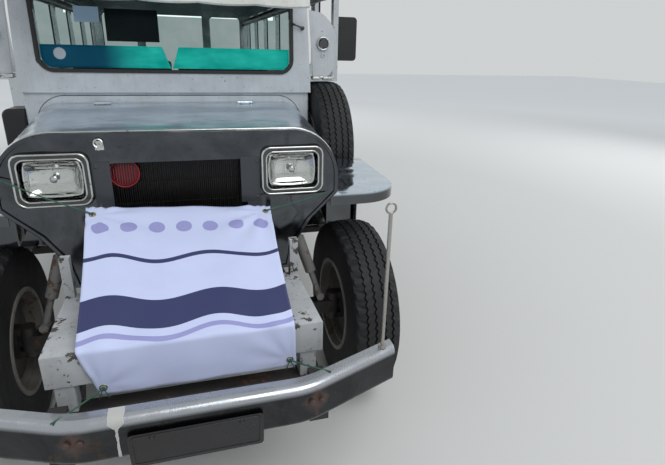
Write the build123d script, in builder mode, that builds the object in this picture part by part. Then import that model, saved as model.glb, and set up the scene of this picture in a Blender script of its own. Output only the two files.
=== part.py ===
from build123d import *
import os
from math import atan2, cos, degrees, hypot, radians, sin, tan

os.makedirs("parts", exist_ok=True)

# Lengths are millimetres. X points to the vehicle's left, Y to its rear and Z up.
# The origin is on the ground, halfway along the vehicle.

# Stations along the vehicle
FRONT_OVERHANG = 860
WHEELBASE = 3400
REAR_OVERHANG = 1653
PLATE_OUT = 13
FRONT = PLATE_OUT - (FRONT_OVERHANG + WHEELBASE + REAR_OVERHANG) / 2
REAR = PLATE_OUT - FRONT
FRONT_AXLE = FRONT + FRONT_OVERHANG
REAR_AXLE = FRONT_AXLE + WHEELBASE
PLATFORM_SETBACK = 170
PLATFORM_DEPTH = 380
GRILLE_SETBACK = 770
HOOD_LENGTH = 1000
COWL_GAP = 10
COWL_THICK = 30
CAB_LENGTH = 480
STEP_DEPTH = 150
DECK_FRONT = FRONT + PLATFORM_SETBACK
DECK_REAR = DECK_FRONT + PLATFORM_DEPTH
GRILLE = FRONT + GRILLE_SETBACK
HOOD_REAR = GRILLE + HOOD_LENGTH
COWL = HOOD_REAR + COWL_GAP
BODY_FRONT = COWL + 70
CAB_REAR = BODY_FRONT + CAB_LENGTH
BODY_REAR = REAR - STEP_DEPTH
SEAT_GAP = 0.3

# Wheels
TYRE_R = 388
TYRE_W = 200
RIM_R = 203
RIM_SKIN = 8
FRONT_WHEEL_X = 720
TWIN_INNER_X = 565
TWIN_OUTER_X = 775
KINGPIN_X = 630
KINGPIN_R = 15
SPINDLE_R = 22
RUNNING_FIT = 0.05
BEAD_HALF = 80
TREAD_HALF = 88
SHOULDER_R = 374
FLANGE_X = 88
FLANGE = 5
FLANGE_R = 214
WELL_X = 60
WELL = 24
DISC = 8
DISH = 20
DISC_FLAT_R = 100
DISC_AT = 20
TWIN_DISC_AT = 50
CARRIER_R = 60
HAND_HOLES = 8
HAND_HOLE_R = 17
HAND_HOLE_AT = 134
HUB_R = 55
HUB_X = 480
DRUM_R = 140
DRUM_W = 50
DRUM_GAP = 4
BOSS_R = 30
BOSS_H = 76
EAR_H = 26
FORK_X = 42
ARM_L = 130

# Chassis
RAIL_X = 360
RAIL_W = 60
RAIL_TOP = 620
RAIL_H = 120
HORN_TOP = 530
HORN_SETBACK = 90
TOWER_REACH = 95
TOWER_TOP = 775
STUB_LOW = 514
STUB_TOP = 575
HORN_H = 110
BEAM = 60
SPRING_HALF = 480
EYE_R = 11
AXLE_TUBE_R = 44
DIFF_R = 150
DIFF_D = 190
SHOCK_R = 24
SHOCK_ROD_R = 13
SHOCK_EYE_R = 17
SHOCK_LOW_X = 562
SHOCK_LOW_Z = 450
SHOCK_HIGH_X = 462
SHOCK_HIGH_Z = 748
ENGINE_W = 480
ENGINE_L = 780
ENGINE_H = 560
ENGINE_LOW = 500
GEARBOX_R = 95
GEARBOX_L = 520
SHAFT_R = 38
SHAFT_Z = 515
LEAF = 10
LEAVES = 5

# Front end
BUMPER_TOP = 620
BUMPER_H = 130
BUMPER_D = 50
BUMPER_WALL = 5
BUMPER_EDGE_R = 22
BUMPER_STRAIGHT = 310
BUMPER_HALF = 617
BUMPER_SWEEP = 124
BUMPER_BEND_R = 260
DECK_TOP = 718
DECK_HALF = 390
DECK_FACE = 98
DECK_PLATE = 6
LEG_X = 345
LEG_W = 50
SHELL_HALF = 610
SHELL_TOP = 1216
SHELL_R = 190
SHELL_WALL = 8
SHELL_DEPTH = 60
SHELL_BOTTOM = 640
CHEEK_INSET = 1.3
GRILLE_HALF = 245
GRILLE_TOP = 1107
GRILLE_BOTTOM = 720
CORE_FINS = 33
LAMP_INSET = 187
LAMP_Z = 1057
LENS_W = 200
LENS_H = 142
BEZEL_W = 250
BEZEL_H = 192
BEZEL_D = 20
BUCKET_WALL = 4
BUCKET_D = 50
LENS_D = 14
RIM_BEAD = 9
DUCT_WALL = 6
RADIATOR_D = 50
FIN_DEPTH = 12
HOOD_MARGIN = 22
HOOD_REAR_R = 150
HINGE_X = 362
HINGE_R = 6
HINGE_W = 80
HINGE_INSET = 30
HINGE_Z = SHELL_TOP + HINGE_R - 1.5
HOOD_SKIN = 12
HOOD_BOTTOM = 960
FENDER_TOP = 945
FENDER_LIP = 48
FENDER_SKIN = 5
FENDER_HALF = 952
FENDER_FRONT_HALF = 908
FENDER_CORNER_R = 190
FENDER_BEND_R = 60
INNER_WING_BOTTOM = 800
PLATE_W = 350
PLATE_H = 124
PLATE_TOP = 572
PLATE_LEAN = 10
PLATE_SKIN = 2
ROD_X = 575
ROD_R = 6
ROD_TOP = 1068
RING_R = 15
RING_WIRE_R = 3.2
POST_W = 30
POST_TOP = 858
BANNER_HALF = 305
BANNER_SKIN = 4
BANNER_REAR = GRILLE - 72
BANNER_TOP = 952
BANNER_LOW = 582

# Body
FLOOR_TOP = 650
BODY_HALF = 930
WALL = 30
CAB_HALF = 737
BELT = 1345
SKIRT = 560
WINDOW_LOW = 1400
WINDOW_TOP = 1860
WINDOW_R = 45
EAVE = 2000
ROOF_OVERHANG = 25
ROOF_SKIN = 30
ROOF_RISE = 100
BOARD_TOP = 550
BOARD_PLATE = 20
PANEL_BOTTOM = 1270
PANEL_STEP = 18
RAKE = 3
GLASS_HALF = 628
GLASS_LOW = 1385
GLASS_TOP = 1850
GLASS_R = 62
BENCH_INNER = 430
BENCH_TOP = 1000
CUSHION = 80
SEAT_TOP = 1030
WING_LOW = 1357
WING_TOP = 1712
WING_SPAN = 173
WING_INSET = 3
WING_SKIN = 5
MARKER_INSET = 90
MARKER_Z = 1537
MARKER_R = 32
MARKER_D = 10
MIRROR_REACH = 137
MIRROR_W = 125
MIRROR_H = 245
MIRROR_D = 38
MIRROR_Y = BODY_FRONT + 90
MIRROR_Z = 1566
ROOF_LEDGE = 65
ROOF_FRONT = COWL - 40
FASCIA = 16
VISOR_REACH = 300
VISOR_FRONT = COWL - VISOR_REACH
VISOR_LOW = 1702
VISOR_HALF = 668
VISOR_TOP_HALF = 735
VISOR_SKIN = 12
SCALLOPS = 5
SCALLOP_DEEP = 9
GASKET = 12
GASKET_PROUD = 7
GASKET_LIP = 6
GLASS = 6
PILLAR = 50
BAYS = 5
ARCH_R = 460
MOULDING_W = 32
MOULDING_PROUD = 10
MOULDING_RISE = 330
DOOR_FRONT = 110
LEDGE = 18
REAR_DOOR_HALF = 340
REAR_LIGHT_W = 380
BOX_SKIN = 8
SEAT_DEPTH = 480
SEAT_HALF = 660
SEAT_BACK_Y = 250
SEAT_BACK_TOP = 1430
BACK_PAD = 40
DASH_D = 190
DASH_LOW = 1080
WHEEL_X = 370
WHEEL_Y = COWL + 480
WHEEL_Z = 1270
WHEEL_R = 205
WHEEL_GRIP = 12
HORN_R = 42
COLUMN_TILT = 30
CASE_W = 108
CASE_L = 150
CASE_TOP = 1190
TANK_R = 150
TANK_L = 640
PIPE_R = 24
PIPE_Z = 470
PIPE_HUMP_Z = 552
SILENCER_R = 75
STEP_TOP = 450
STEP_HALF = 620
STEP_PLATE = 8
STEP_FACE = 110
TAIL_W = 200
TAIL_INSET = 120
TAIL_Z = 1180
ROLL_R = 37
ROLL_Z = 1800

SIDES = (("left", 1), ("right", -1))
RAIL_OUT = RAIL_X + RAIL_W / 2
RAIL_LOW = RAIL_TOP - RAIL_H
SHELL_BACK = GRILLE + SHELL_DEPTH
BOARD_LOW = BOARD_TOP - BOARD_PLATE
SWEEP_SLOPE = BUMPER_SWEEP / (BUMPER_HALF - BUMPER_STRAIGHT)
BENCH_FRONT = CAB_REAR + 380
SPARE_Y = COWL + 120
SPARE_X = CAB_HALF + 15 + TYRE_W / 2
FENDER_REAR = SPARE_Y - TYRE_R - SEAT_GAP
HOOD_REAR_HALF = CAB_HALF - HOOD_MARGIN
ROOF_EDGE_HALF = BODY_HALF + ROOF_OVERHANG
ROOF_CROWN = EAVE + ROOF_SKIN + ROOF_RISE
WING_HALF = BODY_HALF - WING_INSET
WING_INNER = WING_HALF - WING_SPAN
MARKER_X = WING_HALF - MARKER_INSET
LAMP_X = SHELL_HALF - LAMP_INSET
MIRROR_OUT = BODY_HALF + MIRROR_REACH


# Ladder frame: kicked-up side rails, cross members, outriggers and damper towers
with BuildPart() as chassis_frame:
    rail_side = (
        (FRONT + HORN_SETBACK, HORN_TOP - HORN_H),
        (FRONT + HORN_SETBACK, HORN_TOP),
        (FRONT + 300, HORN_TOP),
        (FRONT + 380, RAIL_TOP),
        (BODY_REAR, RAIL_TOP),
        (BODY_REAR, RAIL_LOW),
        (FRONT + 340, RAIL_LOW),
        (FRONT + 260, HORN_TOP - HORN_H),
    )
    for rail_x in (RAIL_X, -RAIL_X):
        with BuildSketch(Plane.YZ.offset(rail_x)):
            Polygon(*rail_side, align=None)
        extrude(amount=RAIL_W / 2, both=True)
    # Stubs that reach into the bumper's channel and meet the back of its face
    for sign in (1, -1):
        stub_x = (RAIL_X - RAIL_W / 2 + 6, RAIL_OUT - 6)
        faces_y = [FRONT + BUMPER_WALL + 2 * SEAT_GAP + SWEEP_SLOPE * (x - BUMPER_STRAIGHT) for x in stub_x]
        with BuildSketch(Plane.XY.offset(STUB_LOW)):
            Polygon(
                (sign * stub_x[0], faces_y[0] + 1),
                (sign * stub_x[1], faces_y[1]),
                (sign * stub_x[1], FRONT + HORN_SETBACK + 60),
                (sign * stub_x[0], FRONT + HORN_SETBACK + 60),
                align=None,
            )
        extrude(amount=STUB_TOP - STUB_LOW)
    cross_members = (
        (FRONT + 200, HORN_TOP),
        (SHELL_BACK + 25, RAIL_TOP),
        (CAB_REAR + 300, RAIL_TOP),
        (REAR_AXLE - 620, RAIL_TOP),
        (REAR_AXLE + 560, RAIL_TOP),
        (BODY_REAR - 25, RAIL_TOP),
    )
    for cross_y, cross_top in cross_members:
        with Locations((0, cross_y, cross_top - 20)):
            Box(2 * RAIL_X - RAIL_W, 50, 40)
    # Engine mounts, reaching from the rails to the engine's sides
    mount_w = RAIL_X - (RAIL_W + ENGINE_W) / 2
    with Locations(*[(s * (ENGINE_W + mount_w) / 2, FRONT_AXLE + 330, RAIL_TOP - 45) for n, s in SIDES]):
        Box(mount_w, 70, 50)
    outrigger = BODY_HALF - 15 - RAIL_OUT
    for out_y in (COWL - 240, CAB_REAR - 60):
        with Locations(*[(s * (RAIL_OUT + outrigger / 2), out_y, BOARD_LOW - 15) for n, s in SIDES]):
            Box(outrigger, 40, 30)
    # Towers for the tops of the front shock absorbers
    for sign in (1, -1):
        with BuildSketch(Plane.XZ.offset(-(FRONT_AXLE + 16))):
            with BuildLine():
                Polyline(
                    (sign * (RAIL_X - 20), RAIL_TOP - 10),
                    (sign * RAIL_OUT, RAIL_TOP - 10),
                    (sign * (RAIL_OUT + TOWER_REACH), TOWER_TOP - 50),
                    (sign * (RAIL_OUT + TOWER_REACH), TOWER_TOP),
                    (sign * (RAIL_OUT + 40), TOWER_TOP),
                    (sign * (RAIL_X - 20), RAIL_TOP + 60),
                    close=True,
                )
            make_face()
        extrude(amount=-10)
chassis_frame.part.label = "chassis_frame"
export_step(chassis_frame.part, "parts/chassis_frame.step")

def bumper_bar(inset, corner):
    """The bumper as a solid bar, moved in by inset and back from its rear, edges rounded."""
    with BuildPart() as bar:
        with BuildSketch(Plane.XY.offset(BUMPER_TOP - inset)):
            with BuildLine():
                rows = []
                for depth in (inset, BUMPER_D + inset):
                    ends = [(BUMPER_HALF, FRONT + BUMPER_SWEEP + depth), (BUMPER_STRAIGHT, FRONT + depth)]
                    mirrored = [(-x, y) for x, y in reversed(ends)]
                    rows.append(FilletPolyline(*ends, *mirrored, radius=BUMPER_BEND_R))
                Line(rows[0] @ 0, rows[1] @ 0)
                Line(rows[0] @ 1, rows[1] @ 1)
            make_face()
        extrude(amount=2 * inset - BUMPER_H)
        front_edges = bar.faces().filter_by(lambda f: f.normal_at().Y < -0.5).edges()
        fillet(front_edges.filter_by(lambda e: e.length > 60 and abs(e.tangent_at(0.5).Z) < 0.1), corner)
    return bar.part


# Rolled bumper: a channel open to the rear, swept back at both ends
with BuildPart() as front_bumper:
    add(bumper_bar(0, BUMPER_EDGE_R))
    add(bumper_bar(BUMPER_WALL, BUMPER_EDGE_R - BUMPER_WALL), mode=Mode.SUBTRACT)
front_bumper.part.label = "front_bumper"
export_step(front_bumper.part, "parts/front_bumper.step")

# Blank number plate, leaning back at its foot until it meets the bumper's face
with BuildPart() as number_plate:
    facing = (0, -cos(radians(PLATE_LEAN)), -sin(radians(PLATE_LEAN)))
    plate_y = FRONT - PLATE_OUT + PLATE_SKIN * cos(radians(PLATE_LEAN))
    with BuildSketch(Plane(origin=(0, plate_y, PLATE_TOP), x_dir=(1, 0, 0), z_dir=facing)):
        with Locations((0, -PLATE_H / 2)):
            RectangleRounded(PLATE_W, PLATE_H, 12)
        with Locations((-PLATE_W / 2 + 60, -16), (PLATE_W / 2 - 60, -16)):
            Circle(5, mode=Mode.SUBTRACT)
    extrude(amount=PLATE_SKIN)
number_plate.part.label = "number_plate"
export_step(number_plate.part, "parts/number_plate.step")

# Ring-topped marker rod that shows the driver where the bumper's left end is
with BuildPart() as marker_rod:
    rod_y = FRONT + SWEEP_SLOPE * (ROD_X - BUMPER_STRAIGHT) + BUMPER_D / 2
    for radius, height in ((ROD_R, ROD_TOP - BUMPER_TOP), (2 * ROD_R, 2 * ROD_R)):
        with BuildSketch(Plane.XY.offset(BUMPER_TOP)):
            with Locations((ROD_X, rod_y)):
                Circle(radius)
        extrude(amount=height)
    with Locations(Location((ROD_X, rod_y, ROD_TOP + RING_R), (90, 0, 0))):
        Torus(RING_R, RING_WIRE_R)
marker_rod.part.label = "marker_rod"
export_step(marker_rod.part, "parts/marker_rod.step")

# Deck above the bumper: a folded plate on legs, with two posts at its rear
with BuildPart() as front_platform:
    deck_y = (DECK_FRONT + DECK_REAR) / 2
    deck_low = DECK_TOP - DECK_PLATE
    with Locations((0, deck_y, DECK_TOP - DECK_PLATE / 2)):
        Box(2 * DECK_HALF, PLATFORM_DEPTH, DECK_PLATE)
    with Locations((0, DECK_FRONT + DECK_PLATE / 2, DECK_TOP - DECK_FACE / 2)):
        Box(2 * DECK_HALF, DECK_PLATE, DECK_FACE)
    with Locations((0, DECK_REAR - DECK_PLATE / 2, DECK_TOP - DECK_FACE / 4)):
        Box(2 * DECK_HALF, DECK_PLATE, DECK_FACE / 2)
    side_x = DECK_HALF - DECK_PLATE / 2
    with Locations(*[(s * side_x, deck_y, DECK_TOP - DECK_FACE / 4) for n, s in SIDES]):
        Box(DECK_PLATE, PLATFORM_DEPTH, DECK_FACE / 2)
    legs = (
        (LEG_X, DECK_FRONT + DECK_PLATE + LEG_W / 2, HORN_TOP, deck_low, LEG_W),
        (LEG_X, DECK_REAR - DECK_PLATE - LEG_W / 2, RAIL_TOP, deck_low, LEG_W),
        (DECK_HALF - POST_W / 2, DECK_REAR - POST_W / 2, DECK_TOP, POST_TOP, POST_W),
    )
    for leg_x, leg_y, low, high, width in legs:
        with Locations(*[(s * leg_x, leg_y, (low + high) / 2) for n, s in SIDES]):
            Box(width, width, high - low)
front_platform.part.label = "front_platform"
export_step(front_platform.part, "parts/front_platform.step")

# Banner: a sheet tied across the deck, folded down over its front edge
with BuildPart() as banner:
    fold_y = DECK_FRONT - SEAT_GAP
    fold_z = DECK_TOP + SEAT_GAP
    slope = (BANNER_TOP - fold_z) / (BANNER_REAR - fold_y)
    lift = BANNER_SKIN * hypot(1, slope)
    with BuildSketch(Plane.YZ.offset(-BANNER_HALF)):
        Polygon(
            (BANNER_REAR, BANNER_TOP),
            (fold_y, fold_z),
            (fold_y, BANNER_LOW),
            (fold_y - BANNER_SKIN, BANNER_LOW),
            (fold_y - BANNER_SKIN, fold_z + BANNER_SKIN * 0.6),
            (fold_y, fold_z + lift),
            (BANNER_REAR, BANNER_TOP + lift),
            align=None,
        )
    extrude(amount=2 * BANNER_HALF)
banner.part.label = "banner"
export_step(banner.part, "parts/banner.step")


def shell_outline(plane, inset=0.0):
    """The grille shell's outline, a flat arch with tapered cheeks, moved in by inset."""
    half = SHELL_HALF - inset
    top = SHELL_TOP - inset
    corner = SHELL_R - inset
    cheek = ((500, 850), (432, 750), (412, SHELL_BOTTOM + inset))
    with BuildSketch(plane) as outline:
        with BuildLine():
            Line((0, top), (half - corner, top))
            RadiusArc((half - corner, top), (half, top - corner), corner)
            Polyline(
                (half, top - corner),
                (half, FENDER_TOP + 10 + inset / 2),
                *[(x - inset * CHEEK_INSET, z) for x, z in cheek],
                (0, SHELL_BOTTOM + inset),
            )
            mirror(about=Plane.YZ)
        make_face()
    return outline.sketch


# Polished grille shell: beaded rim, flange under the hood, duct and lamp openings
with BuildPart() as grille_shell:
    flange_inset = HOOD_SKIN + 8
    extrude(shell_outline(Plane.XZ.offset(-GRILLE)), amount=-SHELL_WALL)
    extrude(shell_outline(Plane.XZ.offset(-GRILLE), flange_inset), amount=-SHELL_DEPTH)
    cavity = shell_outline(Plane.XZ.offset(-GRILLE - SHELL_WALL), flange_inset + SHELL_WALL)
    extrude(cavity, amount=-SHELL_DEPTH, mode=Mode.SUBTRACT)
    extrude(shell_outline(Plane.XZ.offset(-GRILLE)), amount=RIM_BEAD)
    fillet(grille_shell.faces().sort_by(Axis.Y)[0].edges(), RIM_BEAD * 0.45)
    extrude(shell_outline(Plane.XZ.offset(-GRILLE), RIM_BEAD + 4), amount=2 * RIM_BEAD, mode=Mode.SUBTRACT)
    grille_mid = (GRILLE_TOP + GRILLE_BOTTOM) / 2
    grille_h = GRILLE_TOP - GRILLE_BOTTOM
    with BuildSketch(Plane.XZ.offset(-GRILLE)):
        with Locations((0, grille_mid)):
            RectangleRounded(2 * (GRILLE_HALF + DUCT_WALL), grille_h + 2 * DUCT_WALL, 28)
    extrude(amount=-SHELL_DEPTH)
    with BuildSketch(Plane.XZ.offset(-GRILLE)):
        with Locations((0, grille_mid)):
            RectangleRounded(2 * GRILLE_HALF, grille_h, 22)
        with Locations((LAMP_X, LAMP_Z), (-LAMP_X, LAMP_Z)):
            RectangleRounded(LENS_W + 2 * BUCKET_WALL + 2, LENS_H + 2 * BUCKET_WALL + 2, 30)
    extrude(amount=-SHELL_DEPTH, mode=Mode.SUBTRACT)
grille_shell.part.label = "grille_shell"
export_step(grille_shell.part, "parts/grille_shell.step")

# Radiator: a framed core with upright fins, standing on a cross member
with BuildPart() as radiator:
    core_top = GRILLE_TOP + 35
    core_mid = (core_top + RAIL_TOP) / 2
    with Locations((0, SHELL_BACK + RADIATOR_D / 2, core_mid)):
        Box(2 * GRILLE_HALF + 60, RADIATOR_D, core_top - RAIL_TOP)
    with Locations((0, SHELL_BACK + FIN_DEPTH / 2, grille_mid)):
        Box(2 * GRILLE_HALF, FIN_DEPTH, grille_h, mode=Mode.SUBTRACT)
    with Locations((0, SHELL_BACK + FIN_DEPTH / 2, grille_mid)):
        with GridLocations(2 * GRILLE_HALF / CORE_FINS, 1, CORE_FINS, 1):
            Box(4, FIN_DEPTH, grille_h)
radiator.part.label = "radiator"
export_step(radiator.part, "parts/radiator.step")

# Headlamps: a stepped bezel with a bucket behind it, and the lens it holds
with BuildPart() as headlamp_bezels:
    for sign in (1, -1):
        with BuildSketch(Plane.XZ.offset(-GRILLE)):
            with Locations((sign * LAMP_X, LAMP_Z)):
                RectangleRounded(BEZEL_W, BEZEL_H, 34)
        extrude(amount=BEZEL_D)
    rims = headlamp_bezels.faces().group_by(Axis.Y)[0].edges()
    fillet(rims, BEZEL_D * 0.4)
    for sign in (1, -1):
        with BuildSketch(Plane.XZ.offset(-GRILLE)):
            with Locations((sign * LAMP_X, LAMP_Z)):
                RectangleRounded(LENS_W + 2 * BUCKET_WALL, LENS_H + 2 * BUCKET_WALL, 29)
        extrude(amount=-BUCKET_D)
        with BuildSketch(Plane.XZ.offset(-GRILLE + BEZEL_D)):
            with Locations((sign * LAMP_X, LAMP_Z)):
                RectangleRounded(LENS_W, LENS_H, 25)
        extrude(amount=-BEZEL_D - BUCKET_D + BUCKET_WALL, mode=Mode.SUBTRACT)
headlamp_bezels.part.label = "headlamp_bezels"
export_step(headlamp_bezels.part, "parts/headlamp_bezels.step")

with BuildPart() as headlamp_lenses:
    for sign in (1, -1):
        with BuildSketch(Plane.XZ.offset(-GRILLE + 2)):
            with Locations((sign * LAMP_X, LAMP_Z)):
                RectangleRounded(LENS_W - 2 * SEAT_GAP, LENS_H - 2 * SEAT_GAP, 25 - SEAT_GAP)
        extrude(amount=LENS_D)
    fillet(headlamp_lenses.faces().group_by(Axis.Y)[0].edges(), 4)
headlamp_lenses.part.label = "headlamp_lenses"
export_step(headlamp_lenses.part, "parts/headlamp_lenses.step")


def hood_arch(plane, half, corner, skin):
    """One cross-section of the hood, moved in by its skin."""
    with BuildSketch(plane) as arch:
        with BuildLine():
            low = HOOD_BOTTOM - (1 if skin else 0)
            half_in = half - skin
            top = SHELL_TOP - skin
            r = corner - skin
            Line((0, top), (half_in - r, top))
            RadiusArc((half_in - r, top), (half_in, top - r), r)
            Polyline((half_in, top - r), (half_in, low), (0, low))
            mirror(about=Plane.YZ)
        make_face()
    return arch.sketch


# Hood: a tapered arch of sheet, open below and at both ends, with its hinge barrels
with BuildPart() as hood:
    hood_front = GRILLE + SHELL_WALL + 6
    for skin, lap, mode in ((0, 0, Mode.ADD), (HOOD_SKIN, 1, Mode.SUBTRACT)):
        nose = hood_arch(Plane.XZ.offset(-(hood_front - lap)), SHELL_HALF, SHELL_R, skin)
        tail = hood_arch(Plane.XZ.offset(-(HOOD_REAR + lap)), HOOD_REAR_HALF, HOOD_REAR_R, skin)
        loft([nose, tail], mode=mode)
    barrel_y = HOOD_REAR - HINGE_INSET
    with Locations(*[Location((s * HINGE_X, barrel_y, HINGE_Z), (0, 90, 0)) for n, s in SIDES]):
        Cylinder(HINGE_R, HINGE_W)
    with Locations(*[(s * HINGE_X, HOOD_REAR - HINGE_INSET - 22, SHELL_TOP + 1) for n, s in SIDES]):
        Box(HINGE_W, 40, 4)
hood.part.label = "hood"
export_step(hood.part, "parts/hood.step")


def fender_plan(plane, skin, inner):
    """The fender's plan for one side, moved in by its skin and out to inner."""
    with BuildSketch(plane) as plan:
        with BuildLine():
            corner_y = GRILLE + skin
            edge = FilletPolyline(
                (inner, corner_y),
                (FENDER_FRONT_HALF - skin, corner_y),
                (FENDER_HALF - skin, FENDER_REAR - skin),
                radius=FENDER_CORNER_R - skin,
            )
            Polyline(edge @ 1, (inner, FENDER_REAR - skin), edge @ 0)
        make_face()
    return plan.sketch


# Flat-topped front fenders with a turned-down lip, and the inner wings they stand on
with BuildPart() as front_fenders:
    wing_front = SHELL_HALF - 25
    wing_rear = HOOD_REAR_HALF - 28
    skirt_y = FENDER_REAR - FENDER_LIP
    extrude(fender_plan(Plane.XY.offset(FENDER_TOP), 0, wing_front), amount=BOARD_TOP - FENDER_TOP)
    bend = front_fenders.edges().filter_by(Axis.X).group_by(Axis.Y)[-1].sort_by(Axis.Z)[-1]
    fillet(bend, FENDER_BEND_R)
    with BuildPart(mode=Mode.PRIVATE) as hollow:
        inner_plan = fender_plan(Plane.XY.offset(FENDER_TOP - FENDER_SKIN), FENDER_SKIN, wing_front - 100)
        extrude(inner_plan, amount=BOARD_TOP - FENDER_TOP - 50)
        bend = hollow.edges().filter_by(Axis.X).group_by(Axis.Y)[-1].sort_by(Axis.Z)[-1]
        fillet(bend, FENDER_BEND_R - FENDER_SKIN)
    add(hollow.part, mode=Mode.SUBTRACT)
    lip_low = FENDER_TOP - FENDER_LIP
    with Locations((FENDER_HALF / 2, skirt_y - 500, lip_low - 500)):
        Box(2 * FENDER_HALF, 1000, 1000, mode=Mode.SUBTRACT)
    with BuildSketch(Plane.XY.offset(INNER_WING_BOTTOM)):
        Polygon(
            (wing_front, SHELL_BACK),
            (wing_front + FENDER_SKIN, SHELL_BACK),
            (wing_rear + FENDER_SKIN, COWL),
            (wing_rear, COWL),
            align=None,
        )
    extrude(amount=FENDER_TOP + 8 - INNER_WING_BOTTOM)
    mirror(about=Plane.YZ)
    # Clearance for the grille shell that stands between them
    around = Plane.XZ.offset(-GRILLE + 2 * RIM_BEAD)
    extrude(shell_outline(around, -SEAT_GAP), amount=-2 * RIM_BEAD - SHELL_DEPTH, mode=Mode.SUBTRACT)
front_fenders.part.label = "front_fenders"
export_step(front_fenders.part, "parts/front_fenders.step")

# Engine with its gearbox and propeller shaft, as one plain mass at its real place
with BuildPart() as engine:
    engine_y = SHELL_BACK + RADIATOR_D + 60
    with Locations((0, engine_y + ENGINE_L / 2, ENGINE_LOW + ENGINE_H / 2)):
        Box(ENGINE_W, ENGINE_L, ENGINE_H)
    shaft_y = engine_y + ENGINE_L - 20
    drop = SHAFT_Z - TYRE_R
    run = REAR_AXLE - DIFF_D / 2 - shaft_y
    tilt = degrees(atan2(drop, run))
    with BuildSketch(Plane.XZ.offset(-shaft_y)):
        with Locations((0, SHAFT_Z)):
            Circle(GEARBOX_R)
    extrude(amount=-GEARBOX_L)
    heading = Plane(origin=(0, shaft_y, SHAFT_Z), x_dir=(1, 0, 0), z_dir=(0, run, -drop))
    with BuildSketch(heading):
        Circle(SHAFT_R)
    extrude(amount=hypot(run, drop) + SHAFT_R)
    with Locations((0, REAR_AXLE - DIFF_D / 2 - SEAT_GAP + 100, TYRE_R)):
        Box(200, 200, 200, mode=Mode.SUBTRACT)
engine.part.label = "engine"
export_step(engine.part, "parts/engine.step")

# Axles: a forged beam with kingpin bosses in front, a banjo casing at the rear
with BuildPart() as front_axle:
    with Locations((0, FRONT_AXLE, TYRE_R)):
        Box(2 * KINGPIN_X, BEAM, BEAM)
        for drop_z in (BEAM / 2, -BEAM / 2):
            with Locations((0, 0, drop_z)):
                Box(2 * RAIL_OUT - 140, BEAM + 2, 20, mode=Mode.SUBTRACT)
    bosses = [(s * KINGPIN_X, FRONT_AXLE, TYRE_R) for n, s in SIDES]
    with Locations(*bosses):
        Cylinder(BOSS_R, BOSS_H)
        Cylinder(KINGPIN_R + RUNNING_FIT, BOSS_H + 2, mode=Mode.SUBTRACT)
    # Lugs that the shock absorbers' lower eyes rest on
    lug_h = SHOCK_LOW_Z - SHOCK_EYE_R - SEAT_GAP - TYRE_R - BEAM / 2
    with Locations(*[(s * SHOCK_LOW_X, FRONT_AXLE - 8, TYRE_R + (BEAM + lug_h) / 2) for n, s in SIDES]):
        Box(26, 40, lug_h)
front_axle.part.label = "front_axle"
export_step(front_axle.part, "parts/front_axle.step")

with BuildPart() as rear_axle:
    with Locations(Location((0, REAR_AXLE, TYRE_R), (0, 90, 0))):
        Cylinder(AXLE_TUBE_R, 2 * HUB_X)
        Cylinder(SPINDLE_R, 2 * (TWIN_OUTER_X + 20))
    with Locations(Location((0, REAR_AXLE, TYRE_R), (90, 0, 0))):
        Cylinder(DIFF_R, DIFF_D)
    fillet(rear_axle.edges().filter_by(lambda e: e.geom_type == GeomType.CIRCLE and e.radius == DIFF_R), 55)
    with Locations(*[(s * RAIL_X, REAR_AXLE, TYRE_R + AXLE_TUBE_R / 2) for n, s in SIDES]):
        Box(RAIL_W, BEAM + 30, AXLE_TUBE_R)
rear_axle.part.label = "rear_axle"
export_step(rear_axle.part, "parts/rear_axle.step")

# Leaf springs, as (axle, seat height, number of leaves), hung from the rails by their eyes
SPRINGS = (
    (FRONT_AXLE, TYRE_R + BEAM / 2, LEAVES),
    (REAR_AXLE, TYRE_R + AXLE_TUBE_R, LEAVES - 1),
)
with BuildPart() as leaf_springs:
    for axle_y, seat_z, leaves in SPRINGS:
        sag = RAIL_LOW - EYE_R - 2 - seat_z - leaves * LEAF + LEAF / 2
        camber_r = (SPRING_HALF**2 + sag**2) / (2 * sag)
        arc_z = seat_z + leaves * LEAF + camber_r
        for sign in (1, -1):
            for leaf in range(leaves):
                half = SPRING_HALF * (1 - leaf / (leaves + 0.6))
                with BuildSketch(Plane.YZ.offset(sign * RAIL_X)):
                    with Locations((axle_y, arc_z)):
                        Circle(camber_r + (leaf + 1) * LEAF)
                        Circle(camber_r + leaf * LEAF, mode=Mode.SUBTRACT)
                    with Locations((axle_y, seat_z)):
                        Rectangle(2 * half, 400, mode=Mode.INTERSECT)
                extrude(amount=RAIL_W / 2 - 2, both=True)
            for end in (1, -1):
                eye = (sign * RAIL_X, axle_y + end * SPRING_HALF, RAIL_LOW - EYE_R - SEAT_GAP)
                with Locations(Location(eye, (0, 90, 0))):
                    Cylinder(EYE_R, RAIL_W - 4)
leaf_springs.part.label = "leaf_springs"
export_step(leaf_springs.part, "parts/leaf_springs.step")

# Front shock absorbers, leaning out from their towers to the ends of the beam
with BuildPart() as shock_absorbers:
    shock_y = FRONT_AXLE + 16 - 5 - SHOCK_R
    low = Vector(SHOCK_LOW_X, shock_y, SHOCK_LOW_Z)
    high = Vector(SHOCK_HIGH_X, shock_y, SHOCK_HIGH_Z)
    span = high - low
    for radius, start, end in ((SHOCK_ROD_R, 0.0, 0.5), (SHOCK_R, 0.42, 0.97)):
        with BuildSketch(Plane(origin=low + span * start, x_dir=(0, 1, 0), z_dir=span)):
            Circle(radius)
        extrude(amount=span.length * (end - start))
    with Locations(Location(low, (90, 0, 0)), Location(high, (90, 0, 0))):
        Cylinder(SHOCK_EYE_R, 2 * SHOCK_R + 6)
    with Locations(Location(high + Vector(0, SHOCK_R + 1, 0), (90, 0, 0))):
        Cylinder(SHOCK_ROD_R * 0.7, 8)
    mirror(about=Plane.YZ)
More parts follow.
